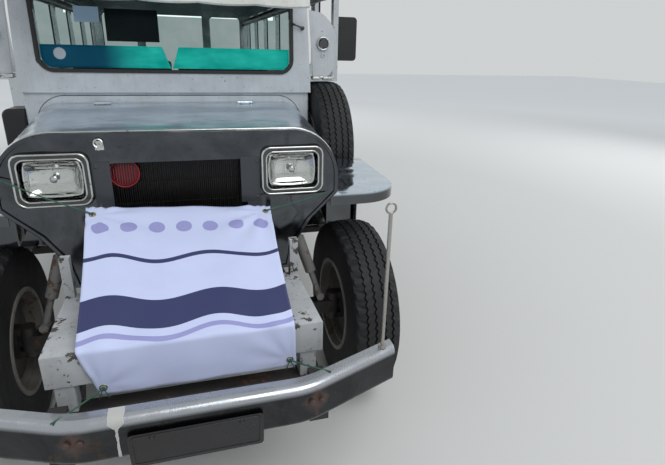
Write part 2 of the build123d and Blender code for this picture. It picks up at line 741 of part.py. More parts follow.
shock_absorbers.part.label = "shock_absorbers"
export_step(shock_absorbers.part, "parts/shock_absorbers.step")

# Steering knuckles: a fork about the kingpin boss, a spindle and a backing plate
for name, sign in SIDES:
    with BuildPart() as knuckle:
        ear_mid = BOSS_H / 2 + 0.5 + EAR_H / 2
        with Locations(*[(sign * KINGPIN_X, FRONT_AXLE, TYRE_R + end * ear_mid) for end in (1, -1)]):
            Cylinder(BOSS_R, EAR_H)
            with Locations((sign * FORK_X / 2, 0, 0)):
                Box(FORK_X, 2 * BOSS_R - 12, EAR_H)
        with Locations((sign * KINGPIN_X, FRONT_AXLE, TYRE_R)):
            Cylinder(KINGPIN_R, 2 * ear_mid)
        with Locations((sign * (KINGPIN_X + FORK_X), FRONT_AXLE, TYRE_R)):
            Box(12, 2 * BOSS_R - 12, 2 * ear_mid + EAR_H)
        back_x = KINGPIN_X + FORK_X + 6
        with BuildSketch(Plane.YZ.offset(sign * back_x)):
            with Locations((FRONT_AXLE, TYRE_R)):
                Circle(DRUM_R + 4)
        extrude(amount=sign * 4)
        with BuildSketch(Plane.YZ.offset(sign * back_x)):
            with Locations((FRONT_AXLE, TYRE_R)):
                Circle(SPINDLE_R)
        extrude(amount=sign * (FRONT_WHEEL_X + 50 - back_x))
        # Steering arm, reaching back from the lower ear
        with Locations((sign * (KINGPIN_X - 10), FRONT_AXLE + ARM_L / 2, TYRE_R - ear_mid)):
            Box(24, ARM_L, EAR_H - 8)
    knuckle.part.label = f"knuckle_{name}"
    export_step(knuckle.part, f"parts/knuckle_{name}.step")


def tyre_ring(x):
    """A tyre about the X axis of the wheel at x, with bulged walls and a crowned tread."""
    half = TYRE_W / 2
    bead_r = RIM_R + SEAT_GAP
    wall_r = (bead_r + TYRE_R) / 2
    with BuildSketch(Plane.XY) as profile:
        with BuildLine():
            ThreePointArc((x + BEAD_HALF, bead_r), (x + half, wall_r), (x + TREAD_HALF, SHOULDER_R))
            ThreePointArc((x + TREAD_HALF, SHOULDER_R), (x, TYRE_R), (x - TREAD_HALF, SHOULDER_R))
            ThreePointArc((x - TREAD_HALF, SHOULDER_R), (x - half, wall_r), (x - BEAD_HALF, bead_r))
            Line((x - BEAD_HALF, bead_r), (x + BEAD_HALF, bead_r))
        make_face()
    return revolve(profile.sketch, axis=Axis.X, mode=Mode.PRIVATE)


def rim_ring(x):
    """A flanged rim barrel about the X axis."""
    with BuildSketch(Plane.XY) as profile:
        with BuildLine():
            edge = FLANGE_X + FLANGE
            Polyline(
                (x - edge, RIM_R - RIM_SKIN),
                (x - edge, FLANGE_R),
                (x - FLANGE_X, FLANGE_R),
                (x - FLANGE_X, RIM_R),
                (x + FLANGE_X, RIM_R),
                (x + FLANGE_X, FLANGE_R),
                (x + edge, FLANGE_R),
                (x + edge, RIM_R - RIM_SKIN),
                (x + WELL_X, RIM_R - RIM_SKIN),
                (x + WELL_X, RIM_R - WELL),
                (x - WELL_X, RIM_R - WELL),
                (x - WELL_X, RIM_R - RIM_SKIN),
                close=True,
            )
        make_face()
    return revolve(profile.sketch, axis=Axis.X, mode=Mode.PRIVATE)


def wheel_disc(x, out, dish):
    """A pressed disc: flat at the hub, dished out to the barrel's well, with hand holes."""
    edge_r = RIM_R - WELL + 1
    with BuildSketch(Plane.XY) as profile:
        with BuildLine():
            face = x + out * dish
            Polyline(
                (face, SPINDLE_R + RUNNING_FIT),
                (face, DISC_FLAT_R),
                (x, edge_r - 12),
                (x, edge_r),
                (x + out * DISC, edge_r),
                (x + out * DISC, edge_r - 12),
                (face + out * DISC, DISC_FLAT_R),
                (face + out * DISC, SPINDLE_R + RUNNING_FIT),
                close=True,
            )
        make_face()
    disc = revolve(profile.sketch, axis=Axis.X, mode=Mode.PRIVATE)
    with BuildPart() as holed:
        add(disc)
        with BuildSketch(Plane.YZ.offset(x - 60)):
            with PolarLocations(HAND_HOLE_AT, HAND_HOLES):
                Circle(HAND_HOLE_R)
        extrude(amount=120, mode=Mode.SUBTRACT)
    return holed.part


def hub_barrel(low, high, outer, inner=SPINDLE_R + RUNNING_FIT):
    """A bored cylinder about the X axis."""
    with BuildPart() as barrel:
        with BuildSketch(Plane.YZ.offset(low)):
            Circle(outer)
            Circle(inner, mode=Mode.SUBTRACT)
        extrude(amount=high - low)
    return barrel.part


# Wheels, as (name, side, axle, where the wheels of that side stand)
WHEELS = (
    ("front_left", 1, FRONT_AXLE, (FRONT_WHEEL_X,)),
    ("front_right", -1, FRONT_AXLE, (FRONT_WHEEL_X,)),
    ("rear_left", 1, REAR_AXLE, (TWIN_INNER_X, TWIN_OUTER_X)),
    ("rear_right", -1, REAR_AXLE, (TWIN_INNER_X, TWIN_OUTER_X)),
)
for name, sign, axle_y, stations in WHEELS:
    centre = Location((0, axle_y, TYRE_R))
    with BuildPart() as tyre:
        for x in stations:
            add(tyre_ring(sign * x).moved(centre))
    tyre.part.label = f"tyre_{name}"
    export_step(tyre.part, f"parts/tyre_{name}.step")

    with BuildPart() as rim:
        for x in stations:
            add(rim_ring(sign * x).moved(centre))
        if len(stations) == 1:
            drum_x = KINGPIN_X + FORK_X + 6 + 4 + DRUM_GAP
            disc_x = FRONT_WHEEL_X + DISC_AT
            add(wheel_disc(sign * disc_x, sign, DISH).moved(centre))
            ends = sorted((sign * drum_x, sign * (disc_x + DISH)))
            add(hub_barrel(*ends, HUB_R).moved(centre))
            add(hub_barrel(*sorted((sign * drum_x, sign * (drum_x + DRUM_W))), DRUM_R).moved(centre))
        else:
            twin_dish = (TWIN_OUTER_X - TWIN_INNER_X) / 2 - TWIN_DISC_AT - DISC
            drum_x = HUB_X + DRUM_GAP
            add(wheel_disc(sign * (TWIN_OUTER_X - TWIN_DISC_AT), -sign, twin_dish).moved(centre))
            add(wheel_disc(sign * (TWIN_INNER_X + TWIN_DISC_AT), sign, twin_dish).moved(centre))
            ends = sorted((sign * drum_x, sign * (TWIN_OUTER_X + 10)))
            add(hub_barrel(*ends, HUB_R).moved(centre))
            add(hub_barrel(*sorted((sign * drum_x, sign * (drum_x + DRUM_W))), DRUM_R).moved(centre))
    rim.part.label = f"rim_{name}"
    export_step(rim.part, f"parts/rim_{name}.step")

# Spare wheel, standing on the left running board against the cowl
spare_at = Location((0, SPARE_Y, BOARD_TOP + TYRE_R + SEAT_GAP))
with BuildPart() as spare_tyre:
    add(tyre_ring(SPARE_X).moved(spare_at))
spare_tyre.part.label = "spare_tyre"
export_step(spare_tyre.part, "parts/spare_tyre.step")

with BuildPart() as spare_rim:
    add(rim_ring(SPARE_X).moved(spare_at))
    add(wheel_disc(SPARE_X + DISC_AT, 1, DISH).moved(spare_at))
spare_rim.part.label = "spare_rim"
export_step(spare_rim.part, "parts/spare_rim.step")


# The space between the body sides, up to the underside of the arched roof
with BuildPart() as under_roof:
    with BuildSketch(Plane.XZ.offset(-REAR)):
        with BuildLine():
            arch_half = ROOF_EDGE_HALF - ROOF_LEDGE
            room_half = BODY_HALF - WALL
            ThreePointArc((arch_half, EAVE), (0, ROOF_CROWN - ROOF_SKIN), (-arch_half, EAVE))
            Polyline(
                (-arch_half, EAVE),
                (-room_half, EAVE),
                (-room_half, 0),
                (room_half, 0),
                (room_half, EAVE),
                (arch_half, EAVE),
            )
        make_face()
    extrude(amount=REAR - FRONT)

# Roof: an arched shell with a flat ledge over each side, a drip rail and a front fascia
with BuildPart() as roof:
    with BuildSketch(Plane.XZ.offset(-ROOF_FRONT)):
        with BuildLine():
            edge_top = EAVE + ROOF_SKIN
            ThreePointArc((ROOF_EDGE_HALF, edge_top), (0, ROOF_CROWN), (-ROOF_EDGE_HALF, edge_top))
            Polyline((-ROOF_EDGE_HALF, edge_top), (-ROOF_EDGE_HALF, EAVE), (-arch_half, EAVE))
            ThreePointArc((-arch_half, EAVE), (0, ROOF_CROWN - ROOF_SKIN), (arch_half, EAVE))
            Polyline((arch_half, EAVE), (ROOF_EDGE_HALF, EAVE), (ROOF_EDGE_HALF, edge_top))
        make_face()
    extrude(amount=ROOF_FRONT - BODY_REAR - 40)
    # Fascia that closes the front of the arch
    with BuildPart(mode=Mode.PRIVATE) as fascia:
        with Locations((0, ROOF_FRONT + FASCIA / 2, EAVE + 100)):
            Box(2 * arch_half, FASCIA, 200)
        add(under_roof.part, mode=Mode.INTERSECT)
    add(fascia.part)
    # Raised ribs pressed along the roof
    for rib_x in (-480, -160, 160, 480):
        rib_z = EAVE + ROOF_SKIN + (ROOF_CROWN - EAVE - ROOF_SKIN) * (1 - (rib_x / ROOF_EDGE_HALF) ** 2)
        with Locations((rib_x, (ROOF_FRONT + BODY_REAR) / 2, rib_z - 4)):
            Box(50, BODY_REAR - ROOF_FRONT - 160, 16)
roof.part.label = "roof"
export_step(roof.part, "parts/roof.step")

# Visor over the windshield, with a scalloped lower edge and a gusset at each end
with BuildPart() as visor:
    rise = EAVE + ROOF_SKIN - VISOR_LOW
    reach = ROOF_FRONT - VISOR_FRONT
    slope_len = hypot(rise, reach)
    sill = Plane(origin=(0, VISOR_FRONT, VISOR_LOW), x_dir=(1, 0, 0), z_dir=(0, -rise, reach))
    with BuildSketch(sill):
        with BuildLine():
            pitch = 2 * VISOR_HALF / SCALLOPS
            for i in range(SCALLOPS):
                x0 = -VISOR_HALF + i * pitch
                ThreePointArc((x0, 0), (x0 + pitch / 2, -SCALLOP_DEEP), (x0 + pitch, 0))
            Polyline(
                (VISOR_HALF, 0),
                (VISOR_TOP_HALF, slope_len + 30),
                (-VISOR_TOP_HALF, slope_len + 30),
                (-VISOR_HALF, 0),
            )
        make_face()
    extrude(amount=-VISOR_SKIN)
    for sign in (1, -1):
        with BuildSketch(Plane.YZ.offset(sign * (VISOR_HALF - 6))):
            with BuildLine():
                back = ROOF_FRONT - 1
                low_z = VISOR_LOW + 60
                Polyline(
                    (VISOR_FRONT + 40, VISOR_LOW + 40),
                    (back, low_z + 120),
                    (back, EAVE),
                    (ROOF_FRONT - 20, EAVE),
                    close=True,
                )
            make_face()
        extrude(amount=-sign * VISOR_SKIN / 2)
    with Locations((0, ROOF_FRONT + HOOD_LENGTH / 2, EAVE)):
        Box(2 * BODY_HALF, HOOD_LENGTH, 2 * (EAVE - VISOR_LOW), mode=Mode.SUBTRACT)
visor.part.label = "visor"
export_step(visor.part, "parts/visor.step")

# Cowl: the wall between engine and cab, with the fixed leaves of the hood's hinges
with BuildPart() as cowl:
    with BuildSketch(Plane.XY.offset(RAIL_TOP)):
        with Locations((0, COWL + COWL_THICK / 2)):
            Rectangle(2 * CAB_HALF, COWL_THICK)
    extrude(amount=PANEL_BOTTOM - RAIL_TOP)
    fillet(cowl.edges().filter_by(Axis.Z).group_by(Axis.Y)[0], 12)
    leaf_front = HOOD_REAR - HINGE_INSET + HINGE_R + SEAT_GAP
    with Locations(*[(s * HINGE_X, (leaf_front + COWL + 1) / 2, HINGE_Z + 1) for n, s in SIDES]):
        Box(HINGE_W - 10, COWL + 1 - leaf_front, 3)
cowl.part.label = "cowl"
export_step(cowl.part, "parts/cowl.step")

# Windshield panel, leaning back, with its gasket and glass
panel_front = COWL - PANEL_STEP
raked = (0, -cos(radians(RAKE)), sin(radians(RAKE)))
panel_plane = Plane(origin=(0, panel_front, PANEL_BOTTOM), x_dir=(1, 0, 0), z_dir=raked)
glass_h = GLASS_TOP - GLASS_LOW
glass_mid = GLASS_LOW + glass_h / 2 - PANEL_BOTTOM
with BuildPart() as windshield_panel:
    with BuildSketch(panel_plane):
        with BuildLine():
            high = ROOF_CROWN - PANEL_BOTTOM
            top_half = CAB_HALF + 8 - 35
            Polyline((-CAB_HALF - 8, 0), (CAB_HALF + 8, 0), (top_half, high), (-top_half, high), close=True)
        make_face()
        frame_h = glass_h + 2 * GASKET
        with Locations((0, glass_mid)):
            RectangleRounded(2 * (GLASS_HALF + GASKET), frame_h, GLASS_R + GASKET, mode=Mode.SUBTRACT)
    extrude(amount=-WALL)
    add(under_roof.part, mode=Mode.INTERSECT)
    with Locations((0, COWL, PANEL_BOTTOM - 50)):
        Box(2000, 200, 100, mode=Mode.SUBTRACT)
windshield_panel.part.label = "windshield_panel"
export_step(windshield_panel.part, "parts/windshield_panel.step")

with BuildPart() as windshield_gasket:
    lip = (GASKET + GASKET_LIP, GASKET_PROUD - SEAT_GAP)
    web = (GASKET - SEAT_GAP, GASKET_PROUD + WALL)
    for grow, depth in (lip, web):
        with BuildSketch(panel_plane.offset(GASKET_PROUD)):
            with Locations((0, glass_mid)):
                RectangleRounded(2 * (GLASS_HALF + grow), glass_h + 2 * grow, GLASS_R + grow)
                RectangleRounded(2 * GLASS_HALF, glass_h, GLASS_R, mode=Mode.SUBTRACT)
        extrude(amount=-depth)
windshield_gasket.part.label = "windshield_gasket"
export_step(windshield_gasket.part, "parts/windshield_gasket.step")

with BuildPart() as windshield_glass:
    with BuildSketch(panel_plane.offset(-WALL / 2)):
        with Locations((0, glass_mid)):
            inset = SEAT_GAP
            RectangleRounded(2 * (GLASS_HALF - inset), glass_h - 2 * inset, GLASS_R - inset)
    extrude(amount=-GLASS)
windshield_glass.part.label = "windshield_glass"
export_step(windshield_glass.part, "parts/windshield_glass.step")

# Wing plates in front of the body sides, each with its marker lamp
with BuildPart() as side_wings:
    for sign in (1, -1):
        with BuildSketch(Plane.XZ.offset(-BODY_FRONT)):
            with BuildLine():
                hollow_x = WING_HALF - 18
                points = (
                    (WING_INNER, WING_TOP),
                    (WING_INNER + 25, WING_LOW),
                    (WING_INNER + 114, WING_LOW),
                    (hollow_x, WING_LOW + 108),
                    (hollow_x + 9, WING_LOW + 188),
                    (WING_INNER + 69, WING_TOP - 12),
                )
                tops = [(sign * x, z) for x, z in points]
                Polyline(tops[5], tops[0], tops[1], tops[2])
                ThreePointArc(tops[2], (sign * (hollow_x - 9), WING_LOW + 38), tops[3])
                ThreePointArc(tops[3], (sign * WING_HALF, WING_LOW + 148), tops[4])
                ThreePointArc(tops[4], (sign * (hollow_x - 12), WING_LOW + 268), tops[5])
            make_face()
        extrude(amount=WING_SKIN)
        with BuildSketch(Plane.XZ.offset(-BODY_FRONT + WING_SKIN)):
            with Locations((sign * MARKER_X, MARKER_Z)):
                Circle(MARKER_R)
        extrude(amount=MARKER_D)
side_wings.part.label = "side_wings"
export_step(side_wings.part, "parts/side_wings.step")

# Mirrors on short arms outside the front pillars
with BuildPart() as mirrors:
    for sign in (1, -1):
        housing = (sign * (MIRROR_OUT - MIRROR_W / 2), MIRROR_Y, MIRROR_Z)
        with Locations(housing):
            Box(MIRROR_W, MIRROR_D, MIRROR_H)
        fillet(mirrors.edges().filter_by(Axis.Y).group_by(Axis.X)[-1 if sign > 0 else 0], 22)
        arm_x = MIRROR_OUT - MIRROR_W + 20
        arm_y = BODY_FRONT + 25
        for arm_z in (MIRROR_Z + 70, MIRROR_Z - 70):
            with Locations((sign * (BODY_HALF + arm_x) / 2, arm_y, arm_z)):
                Box(arm_x - BODY_HALF, 12, 12)
            with Locations((sign * (arm_x - 6), (arm_y - 6 + MIRROR_Y) / 2, arm_z)):
                Box(12, MIRROR_Y - arm_y + 6, 12)
mirrors.part.label = "mirrors"
export_step(mirrors.part, "parts/mirrors.step")

# Body sides: windows in a row, a wheel arch, a belt ledge over the front step, and on
# the right a doorway. Each is one wall with the inner cab wall and bulkhead it carries.
for name, sign in SIDES:
    doorway = name == "right"
    with BuildPart() as body_side:
        inner_x = BODY_HALF - WALL
        with BuildSketch(Plane.YZ.offset(sign * inner_x)):
            Polygon(
                (BODY_FRONT, BELT),
                (CAB_REAR, BELT),
                (CAB_REAR, SKIRT),
                (BODY_REAR, SKIRT),
                (BODY_REAR, EAVE),
                (BODY_FRONT, EAVE),
                align=None,
            )
            window_h = WINDOW_TOP - WINDOW_LOW
            first_w = CAB_LENGTH - 2 * PILLAR
            with Locations((BODY_FRONT + CAB_LENGTH / 2, WINDOW_LOW + window_h / 2)):
                RectangleRounded(first_w, window_h, WINDOW_R, mode=Mode.SUBTRACT)
            if doorway:
                with Locations((BODY_FRONT + CAB_LENGTH / 2, (BELT + WINDOW_LOW) / 2 + 20)):
                    Rectangle(first_w, WINDOW_LOW - BELT + 60, mode=Mode.SUBTRACT)
            bay = (BODY_REAR - CAB_REAR - PILLAR) / BAYS
            with Locations((CAB_REAR + PILLAR / 2 + bay * BAYS / 2, WINDOW_LOW + window_h / 2)):
                with GridLocations(bay, 1, BAYS, 1):
                    RectangleRounded(bay - PILLAR, window_h, WINDOW_R, mode=Mode.SUBTRACT)
            with Locations((REAR_AXLE, TYRE_R)):
                Circle(ARCH_R, mode=Mode.SUBTRACT)
        extrude(amount=sign * WALL)
        # Rolled mouldings along the side, and the lip round the wheel arch
        with BuildPart(mode=Mode.PRIVATE) as trim:
            trim_y = (CAB_REAR + BODY_REAR) / 2
            trim_x = sign * (BODY_HALF + MOULDING_PROUD / 2)
            for trim_z in (BELT, FLOOR_TOP + MOULDING_RISE, SKIRT + MOULDING_W / 2):
                with Locations((trim_x, trim_y, trim_z)):
                    Box(MOULDING_PROUD, BODY_REAR - CAB_REAR, MOULDING_W)
            rolled = trim.faces().sort_by(Axis.X)[::sign][-3:].edges().filter_by(Axis.Y)
            fillet(rolled, MOULDING_PROUD * 0.6)
            with BuildSketch(Plane.YZ.offset(sign * BODY_HALF)):
                with Locations((REAR_AXLE, TYRE_R)):
                    Circle(ARCH_R + MOULDING_W)
                with Locations((REAR_AXLE, SKIRT - ARCH_R)):
                    Rectangle(3 * ARCH_R, 2 * ARCH_R, mode=Mode.SUBTRACT)
            extrude(amount=sign * MOULDING_PROUD)
            with Locations(Location((trim_x, REAR_AXLE, TYRE_R), (0, 90, 0))):
                Cylinder(ARCH_R, 4 * MOULDING_PROUD, mode=Mode.SUBTRACT)
        add(trim.part)
        cab_end = BODY_FRONT + DOOR_FRONT if doorway else CAB_REAR
        wall_y = COWL + COWL_THICK
        with Locations((sign * (CAB_HALF - WALL / 2), (wall_y + cab_end) / 2, (RAIL_TOP + BELT) / 2)):
            Box(WALL, cab_end - wall_y, BELT - RAIL_TOP)
        ledge_w = BODY_HALF - CAB_HALF + WALL
        with Locations((sign * (BODY_HALF - ledge_w / 2), (BODY_FRONT + cab_end) / 2, BELT - LEDGE / 2)):
            Box(ledge_w, cab_end - BODY_FRONT, LEDGE)
        with Locations((sign * (BODY_HALF - ledge_w / 2), CAB_REAR - WALL / 2, (SKIRT + BELT) / 2)):
            Box(ledge_w, WALL, BELT - SKIRT)
        if not doorway:
            # Carrier that the spare wheel's disc is bolted to
            hub_z = BOARD_TOP + TYRE_R + SEAT_GAP
            disc_face = SPARE_X + DISC_AT + DISH - SEAT_GAP
            for radius, reach in ((CARRIER_R, disc_face), (SPINDLE_R - 4, FENDER_HALF - 20)):
                with BuildSketch(Plane.YZ.offset(CAB_HALF)):
                    with Locations((SPARE_Y, hub_z)):
                        Circle(radius)
                extrude(amount=reach - CAB_HALF)
    body_side.part.label = f"body_side_{name}"
    export_step(body_side.part, f"parts/body_side_{name}.step")

# Rear wall with the passengers' doorway and a small window each side of it
with BuildPart() as rear_wall:
    with BuildSketch(Plane.XZ.offset(-BODY_REAR)):
        with Locations((0, (SKIRT + ROOF_CROWN) / 2)):
            Rectangle(2 * (BODY_HALF - WALL), ROOF_CROWN - SKIRT)
        with Locations((0, (RAIL_TOP + WINDOW_TOP) / 2)):
            Rectangle(2 * REAR_DOOR_HALF, WINDOW_TOP - RAIL_TOP, mode=Mode.SUBTRACT)
        with Locations((0, SKIRT)):
            Rectangle(2 * (RAIL_OUT + SEAT_GAP), 2 * (RAIL_TOP - SKIRT + SEAT_GAP), mode=Mode.SUBTRACT)
        rear_light = (REAR_DOOR_HALF + BODY_HALF - WALL) / 2
        with Locations(*[(s * rear_light, (WINDOW_LOW + WINDOW_TOP) / 2) for n, s in SIDES]):
            RectangleRounded(REAR_LIGHT_W, WINDOW_TOP - WINDOW_LOW, WINDOW_R, mode=Mode.SUBTRACT)
    extrude(amount=WALL)
    add(under_roof.part, mode=Mode.INTERSECT)
rear_wall.part.label = "rear_wall"
export_step(rear_wall.part, "parts/rear_wall.step")

# Floor, with the boxes under the benches that also cover the rear wheels
with BuildPart() as floor:
    floor_front = COWL + COWL_THICK
    floor_rear = BODY_REAR - WALL
    floor_t = FLOOR_TOP - RAIL_TOP
    with Locations((0, (floor_front + CAB_REAR) / 2, RAIL_TOP + floor_t / 2)):
        Box(2 * (CAB_HALF - WALL), CAB_REAR - floor_front, floor_t)
    with Locations((0, (CAB_REAR + floor_rear) / 2, RAIL_TOP + floor_t / 2)):
        Box(2 * (BODY_HALF - WALL), floor_rear - CAB_REAR, floor_t)
    box_w = BODY_HALF - WALL - BENCH_INNER
    box_l = floor_rear - BENCH_FRONT
    box_h = BENCH_TOP - RAIL_TOP
    inner_w = box_w - 2 * BOX_SKIN
    for sign in (1, -1):
        box_x = sign * (BENCH_INNER + box_w / 2)
        with Locations((box_x, BENCH_FRONT + box_l / 2, RAIL_TOP + box_h / 2)):
            Box(box_w, box_l, box_h)
            Box(inner_w, box_l - 2 * BOX_SKIN, box_h - 2 * floor_t, mode=Mode.SUBTRACT)
        with Locations((box_x, REAR_AXLE, RAIL_TOP)):
            Box(inner_w, 2 * ARCH_R - 20, 4 * floor_t, mode=Mode.SUBTRACT)
floor.part.label = "floor"
export_step(floor.part, "parts/floor.step")

# Padded seats: the cab's bench with its back, and a bench along each side
with BuildPart() as cab_seat:
    seat_y = CAB_REAR + SEAT_BACK_Y
    for low, high, front, back in (
        (FLOOR_TOP, SEAT_TOP - CUSHION, seat_y - SEAT_DEPTH + 40, seat_y - 20),
        (SEAT_TOP - CUSHION, SEAT_TOP, seat_y - SEAT_DEPTH, seat_y),
        (SEAT_TOP - CUSHION, SEAT_BACK_TOP, seat_y, seat_y + CUSHION),
    ):
        with Locations((0, (front + back) / 2, (low + high) / 2)):
            Box(2 * SEAT_HALF, back - front, high - low)
    fillet(cab_seat.edges().filter_by(Axis.X).sort_by(Axis.Z)[-2:], 28)
cab_seat.part.label = "cab_seat"
export_step(cab_seat.part, "parts/cab_seat.step")

with BuildPart() as benches:
    bench_mid = (BENCH_FRONT + floor_rear) / 2
    bench_l = floor_rear - BENCH_FRONT - 4
    for sign in (1, -1):
        seat_w = box_w - 2 * SEAT_GAP + 12
        seat_x = BODY_HALF - WALL - SEAT_GAP - seat_w / 2
        with Locations((sign * seat_x, bench_mid, BENCH_TOP + CUSHION / 2)):
            Box(seat_w, bench_l, CUSHION)
        pad_x = BODY_HALF - WALL - SEAT_GAP - BACK_PAD / 2
        with Locations((sign * pad_x, bench_mid, (BENCH_TOP + CUSHION + BELT) / 2)):
            Box(BACK_PAD, bench_l, BELT - BENCH_TOP - CUSHION)
    front_edges = [e for e in benches.edges().filter_by(Axis.Y) if abs(e.center().X) < BENCH_INNER]
    fillet(front_edges, 24)
benches.part.label = "benches"
export_step(benches.part, "parts/benches.step")

# Dashboard, and the steering column that leans out of it
with BuildPart() as dashboard:
    dash_front = COWL + COWL_THICK
    with Locations((0, dash_front + DASH_D / 2, (DASH_LOW + PANEL_BOTTOM) / 2)):
        Box(2 * (CAB_HALF - WALL), DASH_D, PANEL_BOTTOM - DASH_LOW)
    fillet(dashboard.edges().filter_by(Axis.X).group_by(Axis.Y)[-1], 30)
    column_end = Vector(WHEEL_X, WHEEL_Y, WHEEL_Z)
    lean = Vector(0, cos(radians(COLUMN_TILT)), sin(radians(COLUMN_TILT)))
    column_len = (WHEEL_Y - dash_front - DASH_D + 30) / lean.Y
    with BuildSketch(Plane(origin=column_end - lean * column_len, x_dir=(1, 0, 0), z_dir=lean)):
        Circle(24)
    extrude(amount=column_len - 12)
dashboard.part.label = "dashboard"
export_step(dashboard.part, "parts/dashboard.step")

with BuildPart() as steering_wheel:
    face = Plane(origin=column_end, x_dir=(1, 0, 0), z_dir=lean)
    with Locations(face.location):
        Torus(WHEEL_R, WHEEL_GRIP)
        Cylinder(HORN_R, 24)
        for angle in (90, 210, 330):
            with Locations(Location((0, 0, 0), (0, 0, angle))):
                with Locations((WHEEL_R / 2, 0, 0)):
                    Box(WHEEL_R, 22, 8)
steering_wheel.part.label = "steering_wheel"
export_step(steering_wheel.part, "parts/steering_wheel.step")

# Running boards on the outriggers, one each side
with BuildPart() as running_boards:
    board_front = FENDER_REAR - 60
    board_x = (CAB_HALF + FENDER_HALF) / 2
    board_y = (board_front + CAB_REAR) / 2
    with Locations(*[(s * board_x, board_y, BOARD_TOP - BOARD_PLATE / 2) for n, s in SIDES]):
        Box(FENDER_HALF - CAB_HALF, CAB_REAR - board_front, BOARD_PLATE)
running_boards.part.label = "running_boards"
export_step(running_boards.part, "parts/running_boards.step")

# Black case that stands on the right running board beside the cowl
with BuildPart() as side_case:
    case_x = -(CAB_HALF + SEAT_GAP + CASE_W / 2)
    with Locations((case_x, COWL + CASE_L / 2 - 10, (BOARD_TOP + CASE_TOP) / 2)):
        Box(CASE_W, CASE_L, CASE_TOP - BOARD_TOP)
    fillet(side_case.edges().filter_by(Axis.Y).group_by(Axis.Z)[-1].sort_by(Axis.X)[0], 36)
    fillet(side_case.edges().filter_by(Axis.Z), 12)
side_case.part.label = "side_case"
export_step(side_case.part, "parts/side_case.step")

# Fuel tank slung outside the left rail, with its two straps
with BuildPart() as fuel_tank:
    tank_x = RAIL_OUT + TANK_R + 8
    with Locations(Location((tank_x, CAB_REAR + 420, RAIL_TOP - TANK_R - 6), (90, 0, 0))):
        Cylinder(TANK_R, TANK_L)
    fillet(fuel_tank.edges().filter_by(GeomType.CIRCLE), 18)
    for strap in (-TANK_L / 3, TANK_L / 3):
        with Locations(Location((tank_x, CAB_REAR + 420 + strap, RAIL_TOP - TANK_R - 6), (90, 0, 0))):
            Cylinder(TANK_R + 4, 40)
        with Locations((RAIL_OUT + 20, CAB_REAR + 420 + strap, RAIL_TOP - 30)):
            Box(40, 40, 60)
fuel_tank.part.label = "fuel_tank"
export_step(fuel_tank.part, "parts/fuel_tank.step")

# Exhaust: a silencer inside the right rail and its pipe out behind the rear wheels
with BuildPart() as exhaust:
    pipe_x = -(RAIL_X - RAIL_W / 2 - 80)
    with BuildLine() as pipe_path:
        FilletPolyline(
            (pipe_x, CAB_REAR - 200, PIPE_Z),
            (pipe_x, REAR_AXLE - 420, PIPE_Z),
            (pipe_x, REAR_AXLE - 200, PIPE_HUMP_Z),
            (pipe_x, REAR_AXLE + 200, PIPE_HUMP_Z),
            (pipe_x, REAR_AXLE + 420, PIPE_Z),
            (pipe_x, BODY_REAR - 90, PIPE_Z),
            radius=90,
        )
    with BuildSketch(Plane(origin=pipe_path.line @ 0, z_dir=pipe_path.line % 0)):
        Circle(PIPE_R)
    sweep(path=pipe_path.line)
    with Locations(Location((pipe_x, CAB_REAR + 500, PIPE_Z), (90, 0, 0))):
        Cylinder(SILENCER_R, 520)
    # Straps that hang the pipe from two of the cross members
    for strap_y in (CAB_REAR + 300, REAR_AXLE + 560):
        with Locations((pipe_x, strap_y, (PIPE_Z + RAIL_TOP - 40 - SEAT_GAP) / 2)):
            Box(30, 8, RAIL_TOP - 40 - SEAT_GAP - PIPE_Z)
exhaust.part.label = "exhaust"
export_step(exhaust.part, "parts/exhaust.step")

# Rear step: a chequered plate on two arms, with a turned-down bumper edge
with BuildPart() as rear_step:
    with Locations((0, BODY_REAR + STEP_DEPTH / 2, STEP_TOP - STEP_PLATE / 2)):
        Box(2 * STEP_HALF, STEP_DEPTH, STEP_PLATE)
    with Locations((0, REAR - STEP_PLATE / 2, STEP_TOP - STEP_FACE / 2)):
        Box(2 * STEP_HALF, STEP_PLATE, STEP_FACE)
    fillet(rear_step.edges().filter_by(Axis.X).group_by(Axis.Y)[-1].sort_by(Axis.Z)[-1], 6)
    with Locations(*[(s * RAIL_X, BODY_REAR + 15, (STEP_TOP - 60 + RAIL_TOP) / 2) for n, s in SIDES]):
        Box(RAIL_W, 30, RAIL_TOP - STEP_TOP + 60)
rear_step.part.label = "rear_step"
export_step(rear_step.part, "parts/rear_step.step")

# Tail lamps: two round lamps on a backing bar at each rear corner
with BuildPart() as tail_lamps:
    for sign in (1, -1):
        with BuildSketch(Plane.XZ.offset(-BODY_REAR)):
            with Locations((sign * (BODY_HALF - TAIL_INSET), TAIL_Z)):
                RectangleRounded(TAIL_W, 84, 14)
        extrude(amount=-12)
        with BuildSketch(Plane.XZ.offset(-BODY_REAR - 12)):
            with Locations((sign * (BODY_HALF - TAIL_INSET), TAIL_Z)):
                with GridLocations(TAIL_W / 3 - 4, 1, 2, 1):
                    Circle(30)
        extrude(amount=-16)
tail_lamps.part.label = "tail_lamps"
export_step(tail_lamps.part, "parts/tail_lamps.step")

# Rolled rain curtains along the window heads
with BuildPart() as rain_curtains:
    roll_x = BODY_HALF - WALL - ROLL_R - SEAT_GAP
    roll_front = BODY_FRONT + 60
    roll_rear = floor_rear - 10
    roll_y = (roll_front + roll_rear) / 2
    with Locations(*[Location((s * roll_x, roll_y, ROLL_Z), (90, 0, 0)) for n, s in SIDES]):
        Cylinder(ROLL_R, roll_rear - roll_front)
rain_curtains.part.label = "rain_curtains"
export_step(rain_curtains.part, "parts/rain_curtains.step")
